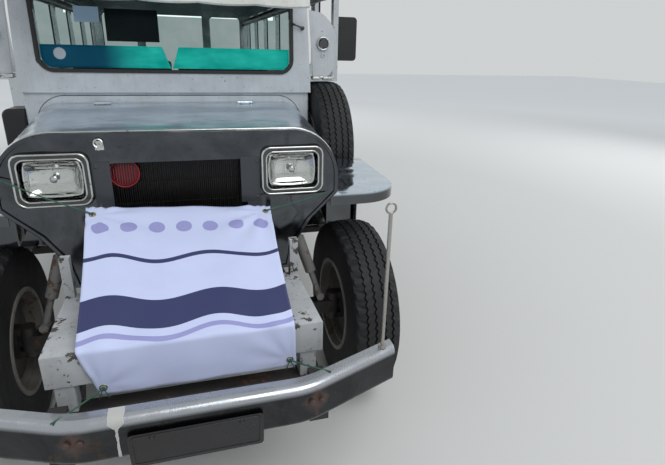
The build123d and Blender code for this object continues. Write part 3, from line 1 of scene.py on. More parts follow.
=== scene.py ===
# %% [markdown]
# # A passenger jeepney
#
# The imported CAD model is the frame: every length is in metres, +X is the vehicle's left, +Y its
# rear and +Z up, and the origin is on the ground halfway along it. This lesson dresses that frame:
# first the camera and the light, then the finishes, then the pieces that a drawing office would
# leave out, such as tyre tread, the cloth, the padding and the small chromed fittings.

# %% Load the frame
import math

import bmesh
import bpy
from mathutils import Matrix, Vector


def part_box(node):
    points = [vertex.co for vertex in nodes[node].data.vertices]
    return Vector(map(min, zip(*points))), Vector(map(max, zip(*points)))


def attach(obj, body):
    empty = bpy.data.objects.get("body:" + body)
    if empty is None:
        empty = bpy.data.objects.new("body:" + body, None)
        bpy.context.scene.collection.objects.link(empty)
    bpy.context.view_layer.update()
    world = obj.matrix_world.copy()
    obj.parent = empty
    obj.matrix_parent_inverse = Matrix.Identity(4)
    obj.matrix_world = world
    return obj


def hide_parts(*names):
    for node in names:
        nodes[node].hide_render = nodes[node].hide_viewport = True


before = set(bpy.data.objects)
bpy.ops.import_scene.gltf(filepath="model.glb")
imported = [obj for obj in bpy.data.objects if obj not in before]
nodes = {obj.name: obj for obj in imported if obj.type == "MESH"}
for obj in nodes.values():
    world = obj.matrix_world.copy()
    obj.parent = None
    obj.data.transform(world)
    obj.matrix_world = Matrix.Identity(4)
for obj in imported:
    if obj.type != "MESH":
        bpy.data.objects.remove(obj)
scene = bpy.context.scene
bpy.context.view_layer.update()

# %% [markdown]
# A few stations along the vehicle are used again and again. The first and the last are read from
# the frame, and the others stand at the distances that the CAD model has.

# %% Stations
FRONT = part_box("front_bumper")[0].y
AXLE_FRONT = FRONT + 0.86
AXLE_REAR = AXLE_FRONT + 3.4
GRILLE = FRONT + 0.77
HOOD_REAR = GRILLE + 1.0
COWL = HOOD_REAR + 0.01
BODY_FRONT = COWL + 0.07
CAB_REAR = BODY_FRONT + 0.48
BODY_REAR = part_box("body_side_left")[1].y
TYRE_R = 0.388
SIGNS = (1, -1)
SIDES = tuple(zip(SIGNS, ("left", "right")))
FORWARD = Vector((0, -1, 0))
UP = Vector((0, 0, 1))
FULL_TURN = 2 * math.pi
print("front axle", AXLE_FRONT, "rear axle", AXLE_REAR, "grille", GRILLE, "body rear", BODY_REAR)

# %% [markdown]
# The photograph was taken from standing height just in front of the bumper, with a wide lens that
# looks down. The camera's place and turns were solved from the lamps, the hinges and the bumper.

# %% Camera
def add_object(name, data):
    """An object of that name at the origin, linked to the scene."""
    made = bpy.data.objects.new(name, data)
    scene.collection.objects.link(made)
    return made


CAMERA_AT = Vector((0.027, -4.0435, 1.5))
YAW, PITCH, ROLL = (math.radians(turn) for turn in (16.92, 20.30, -1.37))
level = Vector((math.sin(YAW), math.cos(YAW), 0))
across = Vector((math.cos(YAW), -math.sin(YAW), 0))
ahead = math.cos(PITCH) * level - math.sin(PITCH) * UP
down = -math.sin(PITCH) * level - math.cos(PITCH) * UP
right = math.cos(ROLL) * across + math.sin(ROLL) * down
lower = -math.sin(ROLL) * across + math.cos(ROLL) * down

camera_data = bpy.data.cameras.new("camera")
camera_data.lens = 26.616
camera_data.sensor_width = 36
camera_data.clip_end = 100
camera = add_object("camera", camera_data)
turned = Matrix((right, -lower, -ahead)).transposed().to_4x4()
camera.matrix_world = Matrix.Translation(CAMERA_AT) @ turned
bpy.context.scene.camera = camera
print("camera looks along", ahead[:])

# %% [markdown]
# A few small helpers start a mesh piece and end it. `finish_piece` turns all faces outwards, gives
# the mesh its finish, makes it ride on a body, and hides the CAD nodes that it stands for.

# %% Piece helpers
def mesh_from(bm, name):
    """Turns a bmesh into a mesh of that name."""
    mesh = bpy.data.meshes.new(name)
    bm.to_mesh(mesh)
    bm.free()
    return mesh


def finish_piece(name, bm, finish, body="body", replaces=(), smooth=False):
    """Turns a bmesh into an object of that name, with its finish, riding on a CAD body."""
    bmesh.ops.recalc_face_normals(bm, faces=bm.faces)
    mesh = mesh_from(bm, name)
    mesh.materials.append(finish)
    for face in mesh.polygons:
        face.use_smooth = smooth
    piece = add_object(name, mesh)
    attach(piece, body)
    if replaces:
        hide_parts(*replaces)
    print(name, "faces", len(mesh.polygons))
    return piece


def thicken(piece, thickness, offset=0.0):
    """Gives an open sheet its thickness, to both sides or, with an offset of 1, outwards."""
    skin = piece.modifiers.new("thickness", "SOLIDIFY")
    skin.thickness = thickness
    skin.offset = offset


# %% Blocks, rods and spins
def edges_of(verts):
    """All the edges that meet these vertices, each once and always in the same order."""
    return list(dict.fromkeys(edge for vert in verts for edge in vert.link_edges))


def add_block(bm, centre, size, bevel=0.0, segments=1):
    """A block with bevelled edges, added to a bmesh."""
    made = bmesh.ops.create_cube(bm, size=1.0)["verts"]
    bmesh.ops.scale(bm, vec=size, verts=made)
    bmesh.ops.translate(bm, vec=centre, verts=made)
    if bevel:
        bmesh.ops.bevel(
            bm,
            geom=edges_of(made),
            offset=bevel,
            segments=segments,
            affect="EDGES",
            profile=0.5,
            material=-1,
        )


def add_rod(bm, start, end, radius, sides=12, tip_radius=None):
    """A round bar from start to end, capped at both ends."""
    start, end = Vector(start), Vector(end)
    length = end - start
    turn = length.to_track_quat("Z", "Y").to_matrix().to_4x4()
    bmesh.ops.create_cone(
        bm,
        cap_ends=True,
        segments=sides,
        radius1=radius,
        radius2=radius if tip_radius is None else tip_radius,
        depth=length.length,
        matrix=Matrix.Translation((start + end) / 2) @ turn,
    )


def turn_about_origin(bm, verts, angle, axis):
    """Turns vertices about one of the origin's axes."""
    bmesh.ops.rotate(bm, cent=(0, 0, 0), matrix=Matrix.Rotation(angle, 3, axis), verts=verts)


def spin_round(bm, parts, centre, axis, steps):
    """Spins vertices and edges a full turn about an axis through centre."""
    bmesh.ops.spin(bm, geom=parts, cent=centre, axis=axis, angle=FULL_TURN, steps=steps, use_merge=True)


# %% [markdown]
# ## Finishes
#
# Every shader is built from the same few kinds of node: a mask made from noise, two colours or two
# values mixed by a mask, and a bump. A socket knows its own tree, so the helpers need no other
# word on where to put a new node. Colours are given as a photograph shows them, from 0 to 255.

# %% Node helpers
def colour(red, green, blue):
    """A colour as a photograph shows it, 0 to 255, made linear for a shader."""
    channels = []
    for level_of in (red, green, blue):
        value = level_of / 255
        channels.append(value / 12.92 if value <= 0.04045 else ((value + 0.055) / 1.055) ** 2.4)
    return (*channels, 1.0)


def is_socket(value):
    """True for another node's output."""
    return isinstance(value, bpy.types.NodeSocket)


def feed(socket, value):
    """Puts a number, a photograph's colour or another node's output into a socket."""
    if is_socket(value):
        socket.id_data.links.new(value, socket)
    elif isinstance(value, tuple) and len(value) == 3:
        socket.default_value = colour(*value)
    else:
        socket.default_value = value


def feed_all(node, values):
    """Feeds several inputs of a node, each named by its label or its number."""
    for label, value in values.items():
        feed(node.inputs[label], value)


def add_node(tree, kind, inputs=None, **settings):
    """A new shader node of that kind, with its own properties set and its inputs fed."""
    node = tree.nodes.new("ShaderNode" + kind)
    for label, value in settings.items():
        setattr(node, label, value)
    feed_all(node, inputs or {})
    return node


# %% Noise, ranges and arithmetic
def parts_of(place):
    """The X, Y and Z of a coordinate."""
    return add_node(place.id_data, "SeparateXYZ", {0: place}).outputs


def noise(place, scale, detail=4.0, roughness=0.55, stretch=(1, 1, 1), distortion=0.0):
    """Noise over the surface, finer along an axis where stretch is larger."""
    mapping = add_node(place.id_data, "Mapping", {"Vector": place})
    mapping.inputs["Scale"].default_value = stretch
    kind = {"Scale": scale, "Detail": detail, "Roughness": roughness, "Distortion": distortion}
    return add_node(place.id_data, "TexNoise", kind | {"Vector": mapping.outputs["Vector"]}).outputs["Fac"]


def span(value, low, high, to_low=0.0, to_high=1.0):
    """Maps a value from low..high to to_low..to_high and holds it there."""
    ends = {"Value": value, "From Min": low, "From Max": high, "To Min": to_low, "To Max": to_high}
    return add_node(value.id_data, "MapRange", ends, clamp=True).outputs["Result"]


def arithmetic(kind, first, second=0.0):
    """One step of arithmetic, where at least one of the two is another node's output."""
    tree = (first if is_socket(first) else second).id_data
    return add_node(tree, "Math", {0: first, 1: second}, operation=kind).outputs[0]


def times(first, second):
    """Their product."""
    return arithmetic("MULTIPLY", first, second)


def plus(first, second):
    """Their sum."""
    return arithmetic("ADD", first, second)


def away_from(value, middle):
    """How far a value is from middle, to either side."""
    return arithmetic("ABSOLUTE", arithmetic("SUBTRACT", value, middle))


def mixed(mask, first, second, share=1.0):
    """The first colour where the mask is 0, and that share of the second where it is 1."""
    # A colour Mix node keeps its factor at input 0, its colours at 6 and 7, its result at output 2.
    amount = mask if share == 1 else times(mask, share)
    return add_node(mask.id_data, "Mix", {0: amount, 6: first, 7: second}, data_type="RGBA").outputs[2]


# %% [markdown]
# Each finish starts with one Principled shader, and reads its place on the vehicle from the Object
# coordinates, which are metres in the vehicle's frame because every piece sits at the origin.

# %% Finish helpers
def start_finish(name, metallic=0.0, roughness=0.5):
    """A new material with one Principled shader; returns the material and the shader."""
    material = bpy.data.materials.new(name)
    material.use_nodes = True
    material.node_tree.nodes.clear()
    plain = {"Metallic": metallic, "Roughness": roughness}
    shader = add_node(material.node_tree, "BsdfPrincipled", plain)
    add_node(material.node_tree, "OutputMaterial", {"Surface": shader.outputs["BSDF"]})
    print("finish", name)
    return material, shader


def place_of(shader):
    """The Object coordinates in the shader's material."""
    return add_node(shader.id_data, "TexCoord").outputs["Object"]


def surfaced(shader, face, dullness, gloss, matt, most=1.0):
    """Gives the shader its colour, and a roughness from gloss to matt as dullness rises to most."""
    feed(shader.inputs["Base Color"], face)
    feed(shader.inputs["Roughness"], span(dullness, 0, most, gloss, matt))


def bumped(shader, height, strength, distance):
    """Feeds a height to the shader's normal."""
    relief = {"Strength": strength, "Distance": distance, "Height": height}
    feed(shader.inputs["Normal"], add_node(shader.id_data, "Bump", relief).outputs["Normal"])


def start_group(name, inputs, outputs):
    """An empty shader node group with value sockets; Place is its coordinate input."""
    group = bpy.data.node_groups.new(name, "ShaderNodeTree")
    group.interface.new_socket(name="Place", in_out="INPUT", socket_type="NodeSocketVector")
    for label, value in inputs.items():
        made = group.interface.new_socket(name=label, in_out="INPUT", socket_type="NodeSocketFloat")
        made.default_value = value
    for label in outputs:
        group.interface.new_socket(name=label, in_out="OUTPUT", socket_type="NodeSocketFloat")
    return group, group.nodes.new("NodeGroupInput").outputs, group.nodes.new("NodeGroupOutput")


def use_group(shader, group, **values):
    """Places a group in the shader's material, fed with the Object coordinates."""
    inputs = {"Place": place_of(shader)} | values
    return add_node(shader.id_data, "Group", inputs, node_tree=group).outputs


# %% [markdown]
# ## Light
#
# The light is plain: a pale world, one broad lamp above the front, and weaker ones from both
# sides and from behind. The world's light is darker towards the ground. The camera, metal and
# glass see one even pale backdrop in its place.

# %% World
scene.view_settings.view_transform = "Standard"
world = bpy.data.worlds.new("studio")
scene.world = world
world.use_nodes = True
sky = world.node_tree
sky.nodes.clear()
direction = parts_of(add_node(sky, "TexCoord").outputs["Generated"])
ramp = add_node(sky, "ValToRGB", {"Fac": direction["Z"]})
ground, zenith = ramp.color_ramp.elements
ground.color = (0.12, 0.12, 0.12, 1)
zenith.position = 0.70
zenith.color = (0.90, 0.95, 1.0, 1)
for height, haze in ((0.08, (0.42, 0.44, 0.44, 1)), (0.26, (0.88, 0.92, 0.94, 1))):
    ramp.color_ramp.elements.new(height).color = haze
light = add_node(sky, "Background", {"Color": ramp.outputs["Color"], "Strength": 0.62})
backdrop = add_node(sky, "Background", {"Color": (0.62, 0.64, 0.64, 1)})
ray = add_node(sky, "LightPath").outputs
seen = arithmetic("MAXIMUM", ray["Is Camera Ray"], ray["Is Glossy Ray"])
seen = arithmetic("MAXIMUM", seen, ray["Is Transmission Ray"])
choice = add_node(sky, "MixShader", {0: seen, 1: light.outputs[0], 2: backdrop.outputs[0]})
add_node(sky, "OutputWorld", {"Surface": choice.outputs[0]})
print("world nodes", len(sky.nodes))

# %% Lamps
LAMP_SIZE = 5.0
for name, place, target, power in (
    ("key", (2.5, -6.5, 6.5), (0, -1.5, 0.8), 270),
    ("left_fill", (7.5, 1.0, 4.5), (0, 0, 1), 150),
    ("right_fill", (-7.5, -1.0, 4.5), (0, 0, 1), 110),
    ("rear_fill", (0, 9.0, 4.5), (0, 1, 1), 150),
):
    lamp_data = bpy.data.lights.new(name, "AREA")
    lamp_data.size = LAMP_SIZE
    lamp_data.energy = power
    lamp = add_object(name, lamp_data)
    lamp.location = place
    lamp.rotation_euler = (Vector(target) - Vector(place)).to_track_quat("-Z", "Y").to_euler()
    print("lamp", name, power, "W")

# %% [markdown]
# ## Wear
#
# Three effects turn up on many parts of a working vehicle, so each is a node group. `street_grime`
# is dust and rain streaks, thicker low down. `chipped_edges` is paint that has flaked in patches.
# `beaten_sheet` is the slight waviness and rubbing of polished steel that was bent by hand.

# %% Street grime
grime, given, result = start_group("street_grime", {"Low": 0.3, "High": 1.6}, ("Dust", "Streaks", "Specks"))
place = given["Place"]
lowness = span(parts_of(place)["Z"], given["High"], given["Low"])
clouds = span(noise(place, 5.0, 6.0, 0.65), 0.38, 0.72)
runs = span(noise(place, 3.0, 5.0, 0.6, stretch=(9, 9, 0.8)), 0.52, 0.78)
specks = span(noise(place, 70.0, 3.0, 0.6), 0.64, 0.70)
dust = times(clouds, span(lowness, 0.0, 1.0, 0.35, 1.0))
feed_all(result, {"Dust": dust, "Streaks": runs, "Specks": specks})

# %% Chipped edges
chips, given, result = start_group("chipped_edges", {"Amount": 0.5}, ("Bare",))
place = given["Place"]
flakes = noise(place, 26.0, 7.0, 0.72, distortion=0.4)
torn = plus(flakes, times(noise(place, 6.0, 3.0, 0.6), 0.5))
edge_at = span(given["Amount"], 0.0, 1.0, 1.0, 0.62)
feed(result.inputs["Bare"], arithmetic("GREATER_THAN", torn, edge_at))

# %% Beaten sheet
beaten_sheet, given, result = start_group("beaten_sheet", {"Rub": 0.5}, ("Waves", "Smears", "Hairlines"))
place = given["Place"]
smears = span(noise(place, 7.0, 6.0, 0.7, distortion=0.8), 0.35, 0.75)
feed_all(result, {
    "Waves": noise(place, 3.2, 2.0, 0.45),
    "Smears": times(smears, given["Rub"]),
    "Hairlines": noise(place, 60.0, 3.0, 0.6, stretch=(1, 0.08, 1)),
})
print("groups", [group.name for group in bpy.data.node_groups])

# %% [markdown]
# The cab front, the visor and the roof are white enamel laid on with a brush. It has yellowed in
# streaks, and grime sits in the lower half. A faint noise in the normal keeps it from looking
# like plastic.

# %% White enamel
PRIMER = (70, 66, 60)


def enamel(name, base, streak, dirt, low, high, gloss=0.38, flaking=0.12):
    """Brushed-on paint with streaks, dirt and a few chips down to dark primer."""
    material, shader = start_finish(name)
    wear = use_group(shader, grime, Low=low, High=high)
    flaked = use_group(shader, chips, Amount=flaking)["Bare"]
    face = mixed(wear["Streaks"], base, streak, 0.5)
    face = mixed(wear["Dust"], face, dirt, 0.55)
    face = mixed(wear["Specks"], face, dirt, 0.5)
    surfaced(shader, mixed(flaked, face, PRIMER), wear["Dust"], gloss, gloss + 0.3)
    bumped(shader, plus(noise(place_of(shader), 90.0, 2.0), times(flaked, -1.2)), 0.12, 0.0008)
    return material


body_white = enamel("body_white", (194, 200, 205), (176, 178, 176), (126, 128, 128), 0.6, 1.9)
roof_white = enamel("roof_white", (206, 207, 204), (178, 176, 166), (140, 138, 130), 1.7, 2.4, 0.45)
deck_white = enamel("deck_white", (176, 179, 182), (148, 146, 138), (90, 86, 80), 0.45, 0.95, 0.6, 0.40)

# %% [markdown]
# The hood, the fenders and the grille shell are bare stainless sheet. The colour of a metal is in
# its reflections, so the work here is in roughness and in the slow waves of the normal. Even so,
# the pale blue base colours of the hood and the fenders are a painted sky reflection, and the
# shell's dark base colour is a painted reflection of dark surroundings.

# %% Bare metal
STREET_SPECK = (60, 52, 44)
LIP_PAINTED_SHADE = (92, 94, 96)


def bare_metal(name, base, stain, rough, waviness, rub, low=0.2, high=1.5, grain=0.02, depth=0.02, shade_below=None):
    """Polished sheet with smears, hairlines and a beaten surface; painted shade below shade_below."""
    material, shader = start_finish(name, metallic=1.0)
    beaten = use_group(shader, beaten_sheet, Rub=rub)
    wear = use_group(shader, grime, Low=low, High=high)
    face = mixed(beaten["Smears"], base, stain)
    face = mixed(wear["Specks"], face, STREET_SPECK, 0.6)
    # Below that height, where the sheet turns down, it gets painted shade.
    if shade_below:
        face = mixed(span(parts_of(place_of(shader))["Z"], shade_below, shade_below - 0.012), face, LIP_PAINTED_SHADE)
    dull = plus(beaten["Smears"], times(wear["Dust"], 0.5))
    surfaced(shader, face, dull, rough, rough + 0.28, 1.3)
    bumped(shader, plus(beaten["Waves"], times(beaten["Hairlines"], grain)), waviness, depth)
    return material


# Hood and fenders: pale blue base colours, a painted sky reflection.
hood_steel = bare_metal("hood_steel", (222, 235, 248), (160, 176, 192), 0.11, 0.36, 0.55)
fender_steel = bare_metal(
    "fender_steel", (216, 230, 244), (170, 182, 192), 0.07, 0.55, 0.25, grain=0.002, depth=0.08, shade_below=0.946
)
# Shell: dark base colour, a painted reflection of dark surroundings.
shell_steel = bare_metal("shell_steel", (88, 91, 95), (42, 43, 44), 0.06, 0.46, 0.5, grain=0.001, depth=0.08)
side_steel = bare_metal(
    "side_steel", (198, 203, 207), (180, 185, 189), 0.20, 0.40, 0.25, 0.3, 0.95, grain=0.002, depth=0.05
)
trim_chrome = bare_metal("trim_chrome", (205, 207, 206), (160, 160, 156), 0.08, 0.05, 0.6)
bezel_chrome = bare_metal("bezel_chrome", (88, 90, 90), (60, 60, 58), 0.14, 0.20, 0.6)
mirror_metal = bare_metal("mirror_metal", (225, 226, 226), (190, 190, 188), 0.05, 0.03, 0.2)

# %% [markdown]
# The bumper is a heavy rolled channel. Its plating is dull grey, darkened further as a painted
# reflection of dark ground, with a band of painted highlight along the top; rust shows round
# the bolts, and white paint has run down it from the deck.

# %% Bumper finish
BOLT_PAIRS_X = (-0.300, 0.330)
BOLT_OFFSET = 0.016
BOLT_Z = 0.562
DRIP_X = -0.197
bumper_metal, shader = start_finish("bumper_metal", metallic=0.9)
smears = use_group(shader, beaten_sheet, Rub=0.9)
flaked = use_group(shader, chips, Amount=0.35)["Bare"]
place = place_of(shader)
bumper_at = parts_of(place)
# Dull grey plating, darkened as a painted reflection of dark ground.
face = mixed(smears["Smears"], (68, 70, 72), (46, 46, 47))
face = mixed(flaked, face, (84, 70, 58), 0.75)
# A bright band along the top: a painted highlight.
face = mixed(span(bumper_at["Z"], 0.592, 0.606), face, (176, 180, 186))
rust_spots = []
for bolt_x in BOLT_PAIRS_X:
    near_bolt = plus(away_from(bumper_at["X"], bolt_x), away_from(bumper_at["Z"], BOLT_Z))
    ragged = times(noise(place, 40.0, 5.0, 0.7), 0.06)
    rust_spots.append(span(plus(near_bolt, ragged), 0.085, 0.05))
rust = arithmetic("MAXIMUM", *rust_spots)
face = mixed(rust, face, (78, 42, 26), 0.60)
drip_edge = plus(away_from(bumper_at["X"], DRIP_X), times(noise(place, 30.0, 3.0), 0.012))
drip = arithmetic("GREATER_THAN", span(bumper_at["Z"], 0.590, 0.606, 0.0085, 0.026), drip_edge)
face = mixed(drip, face, (182, 182, 178))
covered = arithmetic("MAXIMUM", drip, rust)
surfaced(shader, face, plus(smears["Smears"], times(covered, 0.6)), 0.13, 0.55, 1.2)
feed(shader.inputs["Metallic"], arithmetic("SUBTRACT", 0.95, covered))
bumped(shader, plus(smears["Waves"], times(noise(place, 130.0), 0.03)), 0.35, 0.012)

# %% [markdown]
# Below the body everything is black paint, old oil and road dust. One recipe does for the frame,
# the axles and the springs, with more rust on the shock absorbers and the exhaust.

# %% Dark metals
RUST = (98, 56, 34)


def dark_metal(name, base, dust_colour, rust_share, rough=0.62, metallic=0.0):
    """Oily painted or cast metal with road dust and rust."""
    material, shader = start_finish(name, metallic=metallic)
    dust = use_group(shader, grime, Low=0.1, High=0.9)["Dust"]
    flaked = use_group(shader, chips, Amount=rust_share)["Bare"]
    face = mixed(flaked, mixed(dust, base, dust_colour, 0.8), RUST, 0.8)
    surfaced(shader, face, dust, rough - 0.18, rough + 0.25)
    bumped(shader, noise(place_of(shader), 60.0, 5.0, 0.7), 0.35, 0.002)
    return material


frame_black = dark_metal("frame_black", (30, 30, 32), (78, 72, 66), 0.25)
cast_black = dark_metal("cast_black", (26, 25, 25), (70, 64, 58), 0.12)
damper_grey = dark_metal("damper_grey", (132, 132, 130), (92, 84, 76), 0.5)
rusty_pipe = dark_metal("rusty_pipe", (74, 60, 52), (96, 84, 74), 0.75, 0.75)
rim_paint = dark_metal("rim_paint", (128, 126, 120), (84, 78, 72), 0.35, 0.5)
core_black = dark_metal("core_black", (17, 17, 18), (34, 32, 30), 0.0, 0.55)
plate_metal = dark_metal("plate_metal", (46, 46, 48), (44, 42, 41), 0.20, 0.40, metallic=0.3)
rod_metal = dark_metal("rod_metal", (168, 166, 160), (110, 102, 92), 0.30, 0.30, metallic=0.9)
floor_metal = dark_metal("floor_metal", (120, 120, 118), (92, 86, 78), 0.3, 0.5)

# %% [markdown]
# Rubber and the plain plastics differ mostly in how they hold dust. A tyre's grooves get painted
# shade, near black against its ribs, where an attribute of the mesh marks them.

# %% Rubber and plastic
def soft_black(name, base, dust_colour, rough, grain_scale, grain, dusting=0.5):
    """Rubber or moulded plastic with a fine grain and dust."""
    material, shader = start_finish(name)
    wear = use_group(shader, grime, Low=0.0, High=1.2)
    face = mixed(wear["Dust"], base, dust_colour, dusting)
    face = mixed(wear["Specks"], face, dust_colour, 0.3)
    surfaced(shader, face, wear["Dust"], rough, min(rough + 0.2, 1.0))
    bumped(shader, noise(place_of(shader), grain_scale, 3.0), grain, 0.0006)
    return material


seal_rubber = soft_black("seal_rubber", (24, 24, 25), (66, 64, 60), 0.55, 300.0, 0.25)
moulded_black = soft_black("moulded_black", (22, 22, 24), (52, 50, 48), 0.38, 420.0, 0.35)
# Near black; on the side case it also stands for painted shade beside the cowl.
case_black = soft_black("case_black", (14, 14, 16), (46, 44, 42), 0.30, 200.0, 0.12)
red_plastic = soft_black("red_plastic", (150, 22, 20), (84, 40, 34), 0.22, 260.0, 0.1, 0.3)
amber_plastic = soft_black("amber_plastic", (190, 96, 20), (96, 66, 40), 0.22, 260.0, 0.1, 0.3)

tyre_rubber, shader = start_finish("tyre_rubber", roughness=0.8)
dust = use_group(shader, grime, Low=0.0, High=1.4)["Dust"]
groove_shade = add_node(shader.id_data, "Attribute", attribute_name="tread_depth").outputs["Fac"]
# Near black in the grooves: painted shade.
face = mixed(groove_shade, mixed(dust, (17, 18, 20), (36, 36, 37), 0.6), (6, 6, 7))
surfaced(shader, face, dust, 0.62, 0.92)
bumped(shader, noise(place_of(shader), 160.0, 4.0, 0.7), 0.4, 0.0012)

# %% [markdown]
# Glass is clear with a little green. Lamp glass is the same with pressed flutes in its normal.

# %% Glass
def glass(name, tint, rough=0.0, flutes=0.0):
    """Clear glass; flutes is the depth of pressed vertical ribs."""
    material, shader = start_finish(name)
    feed_all(shader, {"Transmission Weight": 1.0, "IOR": 1.12})
    haze = noise(place_of(shader), 9.0, 5.0, 0.6)
    feed(shader.inputs["Base Color"], mixed(span(haze, 0.3, 0.8, 0.0, 0.25), tint, (236, 236, 232)))
    feed(shader.inputs["Roughness"], span(haze, 0.4, 0.8, rough, rough + 0.06))
    if flutes:
        inputs = {"Scale": 28.0, "Vector": place_of(shader)}
        wave = add_node(shader.id_data, "TexWave", inputs, bands_direction="X")
        bumped(shader, wave.outputs["Fac"], flutes, 0.004)
    return material


window_glass = glass("window_glass", (158, 178, 176))
lamp_glass = glass("lamp_glass", (240, 242, 240), 0.02, 0.5)

# %% [markdown]
# ## Finishes for the CAD nodes
#
# A table gives each CAD node its finish. Nodes that a detailed piece stands for are dressed too,
# so that nothing shows a bare colour if it is looked at on its own.

# %% Dress the frame
DRESS = (
    (frame_black, "chassis_frame front_axle rear_axle leaf_springs fuel_tank"),
    (cast_black, "engine knuckle_left knuckle_right"),
    (bumper_metal, "front_bumper"),
    (plate_metal, "number_plate"),
    (rod_metal, "marker_rod"),
    (deck_white, "front_platform"),
    (shell_steel, "grille_shell"),
    (core_black, "radiator"),
    (bezel_chrome, "headlamp_bezels"),
    (lamp_glass, "headlamp_lenses"),
    (hood_steel, "hood"),
    (fender_steel, "front_fenders"),
    (damper_grey, "shock_absorbers"),
    (body_white, "banner cowl windshield_panel side_wings"),
    (seal_rubber, "windshield_gasket"),
    (window_glass, "windshield_glass"),
    (roof_white, "visor roof"),
    (moulded_black, "mirrors cab_seat benches dashboard steering_wheel rain_curtains"),
    (side_steel, "body_side_left body_side_right rear_wall"),
    (floor_metal, "floor running_boards rear_step"),
    (case_black, "side_case"),
    (rusty_pipe, "exhaust"),
    (red_plastic, "tail_lamps"),
    (tyre_rubber, "tyre_front_left tyre_front_right tyre_rear_left tyre_rear_right spare_tyre"),
    (rim_paint, "rim_front_left rim_front_right rim_rear_left rim_rear_right spare_rim"),
)
finish_of = {name: finish for finish, names in DRESS for name in names.split()}
for name, node in nodes.items():
    for slot in node.material_slots:
        slot.material = finish_of[name]
print("dressed", len(finish_of), "of", len(nodes))

# %% [markdown]
# ## Tyres
#
# These are truck tyres with zigzag ribs. A section is drawn as a chain of edges and spun round the
# axle. The section itself has the grooves, and the zigzag comes from pushing the ribs to one side
# and the other on alternate steps. The shoulders are notched two steps in four.

# %% Tread profile
GROOVES = (-0.054, -0.019, 0.019, 0.054)
GROOVE_HALF, GROOVE_SLOPE, GROOVE_DEEP = 0.0035, 0.001, 0.009
ZIGZAG = 0.0042
NOTCH = 0.004
TREAD_HALF, RIBS_HALF, TREAD_FOOT = 0.09, 0.08, 0.35
TYRE_STEPS = 156
WALL = ((0.080, 0.2035), (0.088, 0.214), (0.095, 0.240), (0.0962, 0.243), (0.0995, 0.275))
WALL = WALL + ((0.0998, 0.305), (0.0985, 0.332), (0.0972, 0.334), (0.0958, 0.352), (0.0925, 0.366))


def tread_radius(x):
    """The radius of the tread's crown at a distance from its middle."""
    return TYRE_R - 0.0135 * (x / 0.088) ** 2


def tyre_section():
    """The tyre's outline as (x, radius, 1 in a groove), from one bead round to the other."""
    section = [(-x, radius, 0) for x, radius in WALL]
    section.append((-0.087, tread_radius(0.087), 0))
    for groove in GROOVES:
        crown = tread_radius(groove)
        section.append((groove - GROOVE_HALF - GROOVE_SLOPE, crown, 0))
        section.append((groove - GROOVE_HALF + GROOVE_SLOPE, crown - GROOVE_DEEP, 1))
        section.append((groove + GROOVE_HALF - GROOVE_SLOPE, crown - GROOVE_DEEP, 1))
        section.append((groove + GROOVE_HALF + GROOVE_SLOPE, crown, 0))
    section.append((0.087, tread_radius(0.087), 0))
    section.extend((x, radius, 0) for x, radius in reversed(WALL))
    return section


print("tyre section points", len(tyre_section()))


# %% Spin one tyre
def add_tyre(bm, centre, depth_layer):
    """Spins the section about the X axis through centre, then cuts the zigzag and the notches."""
    ring = []
    for x, radius, deep in tyre_section():
        vert = bm.verts.new((centre.x + x, centre.y, centre.z + radius))
        vert[depth_layer] = deep
        ring.append(vert)
    chain = [bm.edges.new(pair) for pair in zip(ring, ring[1:] + ring[:1])]
    before = set(bm.verts) - set(ring)
    spin_round(bm, ring + chain, centre, (1, 0, 0), TYRE_STEPS)
    for vert in set(bm.verts) - before:
        x = vert.co.x - centre.x
        radius = math.hypot(vert.co.y - centre.y, vert.co.z - centre.z)
        if abs(x) > TREAD_HALF or radius < TREAD_FOOT:
            continue
        turn = math.atan2(vert.co.y - centre.y, vert.co.z - centre.z)
        step = round(turn / (FULL_TURN / TYRE_STEPS))
        if abs(x) < RIBS_HALF:
            vert.co.x += ZIGZAG if step % 2 else -ZIGZAG
        elif step % 4 < 2:
            vert.co.x -= math.copysign(NOTCH, x)
            shrink = (radius - NOTCH) / radius
            vert.co.y = centre.y + (vert.co.y - centre.y) * shrink
            vert.co.z = centre.z + (vert.co.z - centre.z) * shrink


# %% Tyres for all wheels
# Each row: the axle's name and place, its tyres' middles, the disc's face and the hub's end.
WHEELS = (("front", AXLE_FRONT, (0.72,), 0.768, 0.770), ("rear", AXLE_REAR, (0.565, 0.775), 0.678, 0.7855))
SPARE_Z = 0.55 + TYRE_R + 0.0003


def finish_tyre(node, body, places):
    """One tyre, or a pair of twins, that stands for a plain CAD tyre."""
    bm = bmesh.new()
    depth_layer = bm.verts.layers.float.new("tread_depth")
    for place in places:
        add_tyre(bm, Vector(place), depth_layer)
    bmesh.ops.remove_doubles(bm, verts=bm.verts, dist=0.0002)
    finish_piece(node + "_tread", bm, tyre_rubber, body, [node])


for end, axle_y, stations, disc_face, hub_end in WHEELS:
    for sign, side in SIDES:
        places = [(sign * x, axle_y, TYRE_R) for x in stations]
        finish_tyre(f"tyre_{end}_{side}", f"wheel_{end}_{side}", places)
finish_tyre("spare_tyre", "body", [(0.852, COWL + 0.12, SPARE_Z)])

# %% [markdown]
# ## The tied banner
#
# The banner is a sheet of coated cloth with a brass eyelet near each corner. Twine ties its top
# corners to the grille shell and its bottom corners to the bumper, so it slopes over the deck and
# folds down over the deck's front edge. The pull of the four corners leaves creases that fan out
# from the eyelets. A real one is cut flat, so this one starts as a flat grid with a flat UV map
# and is then laid along its path, which keeps the weave and the printed bands at their true size.

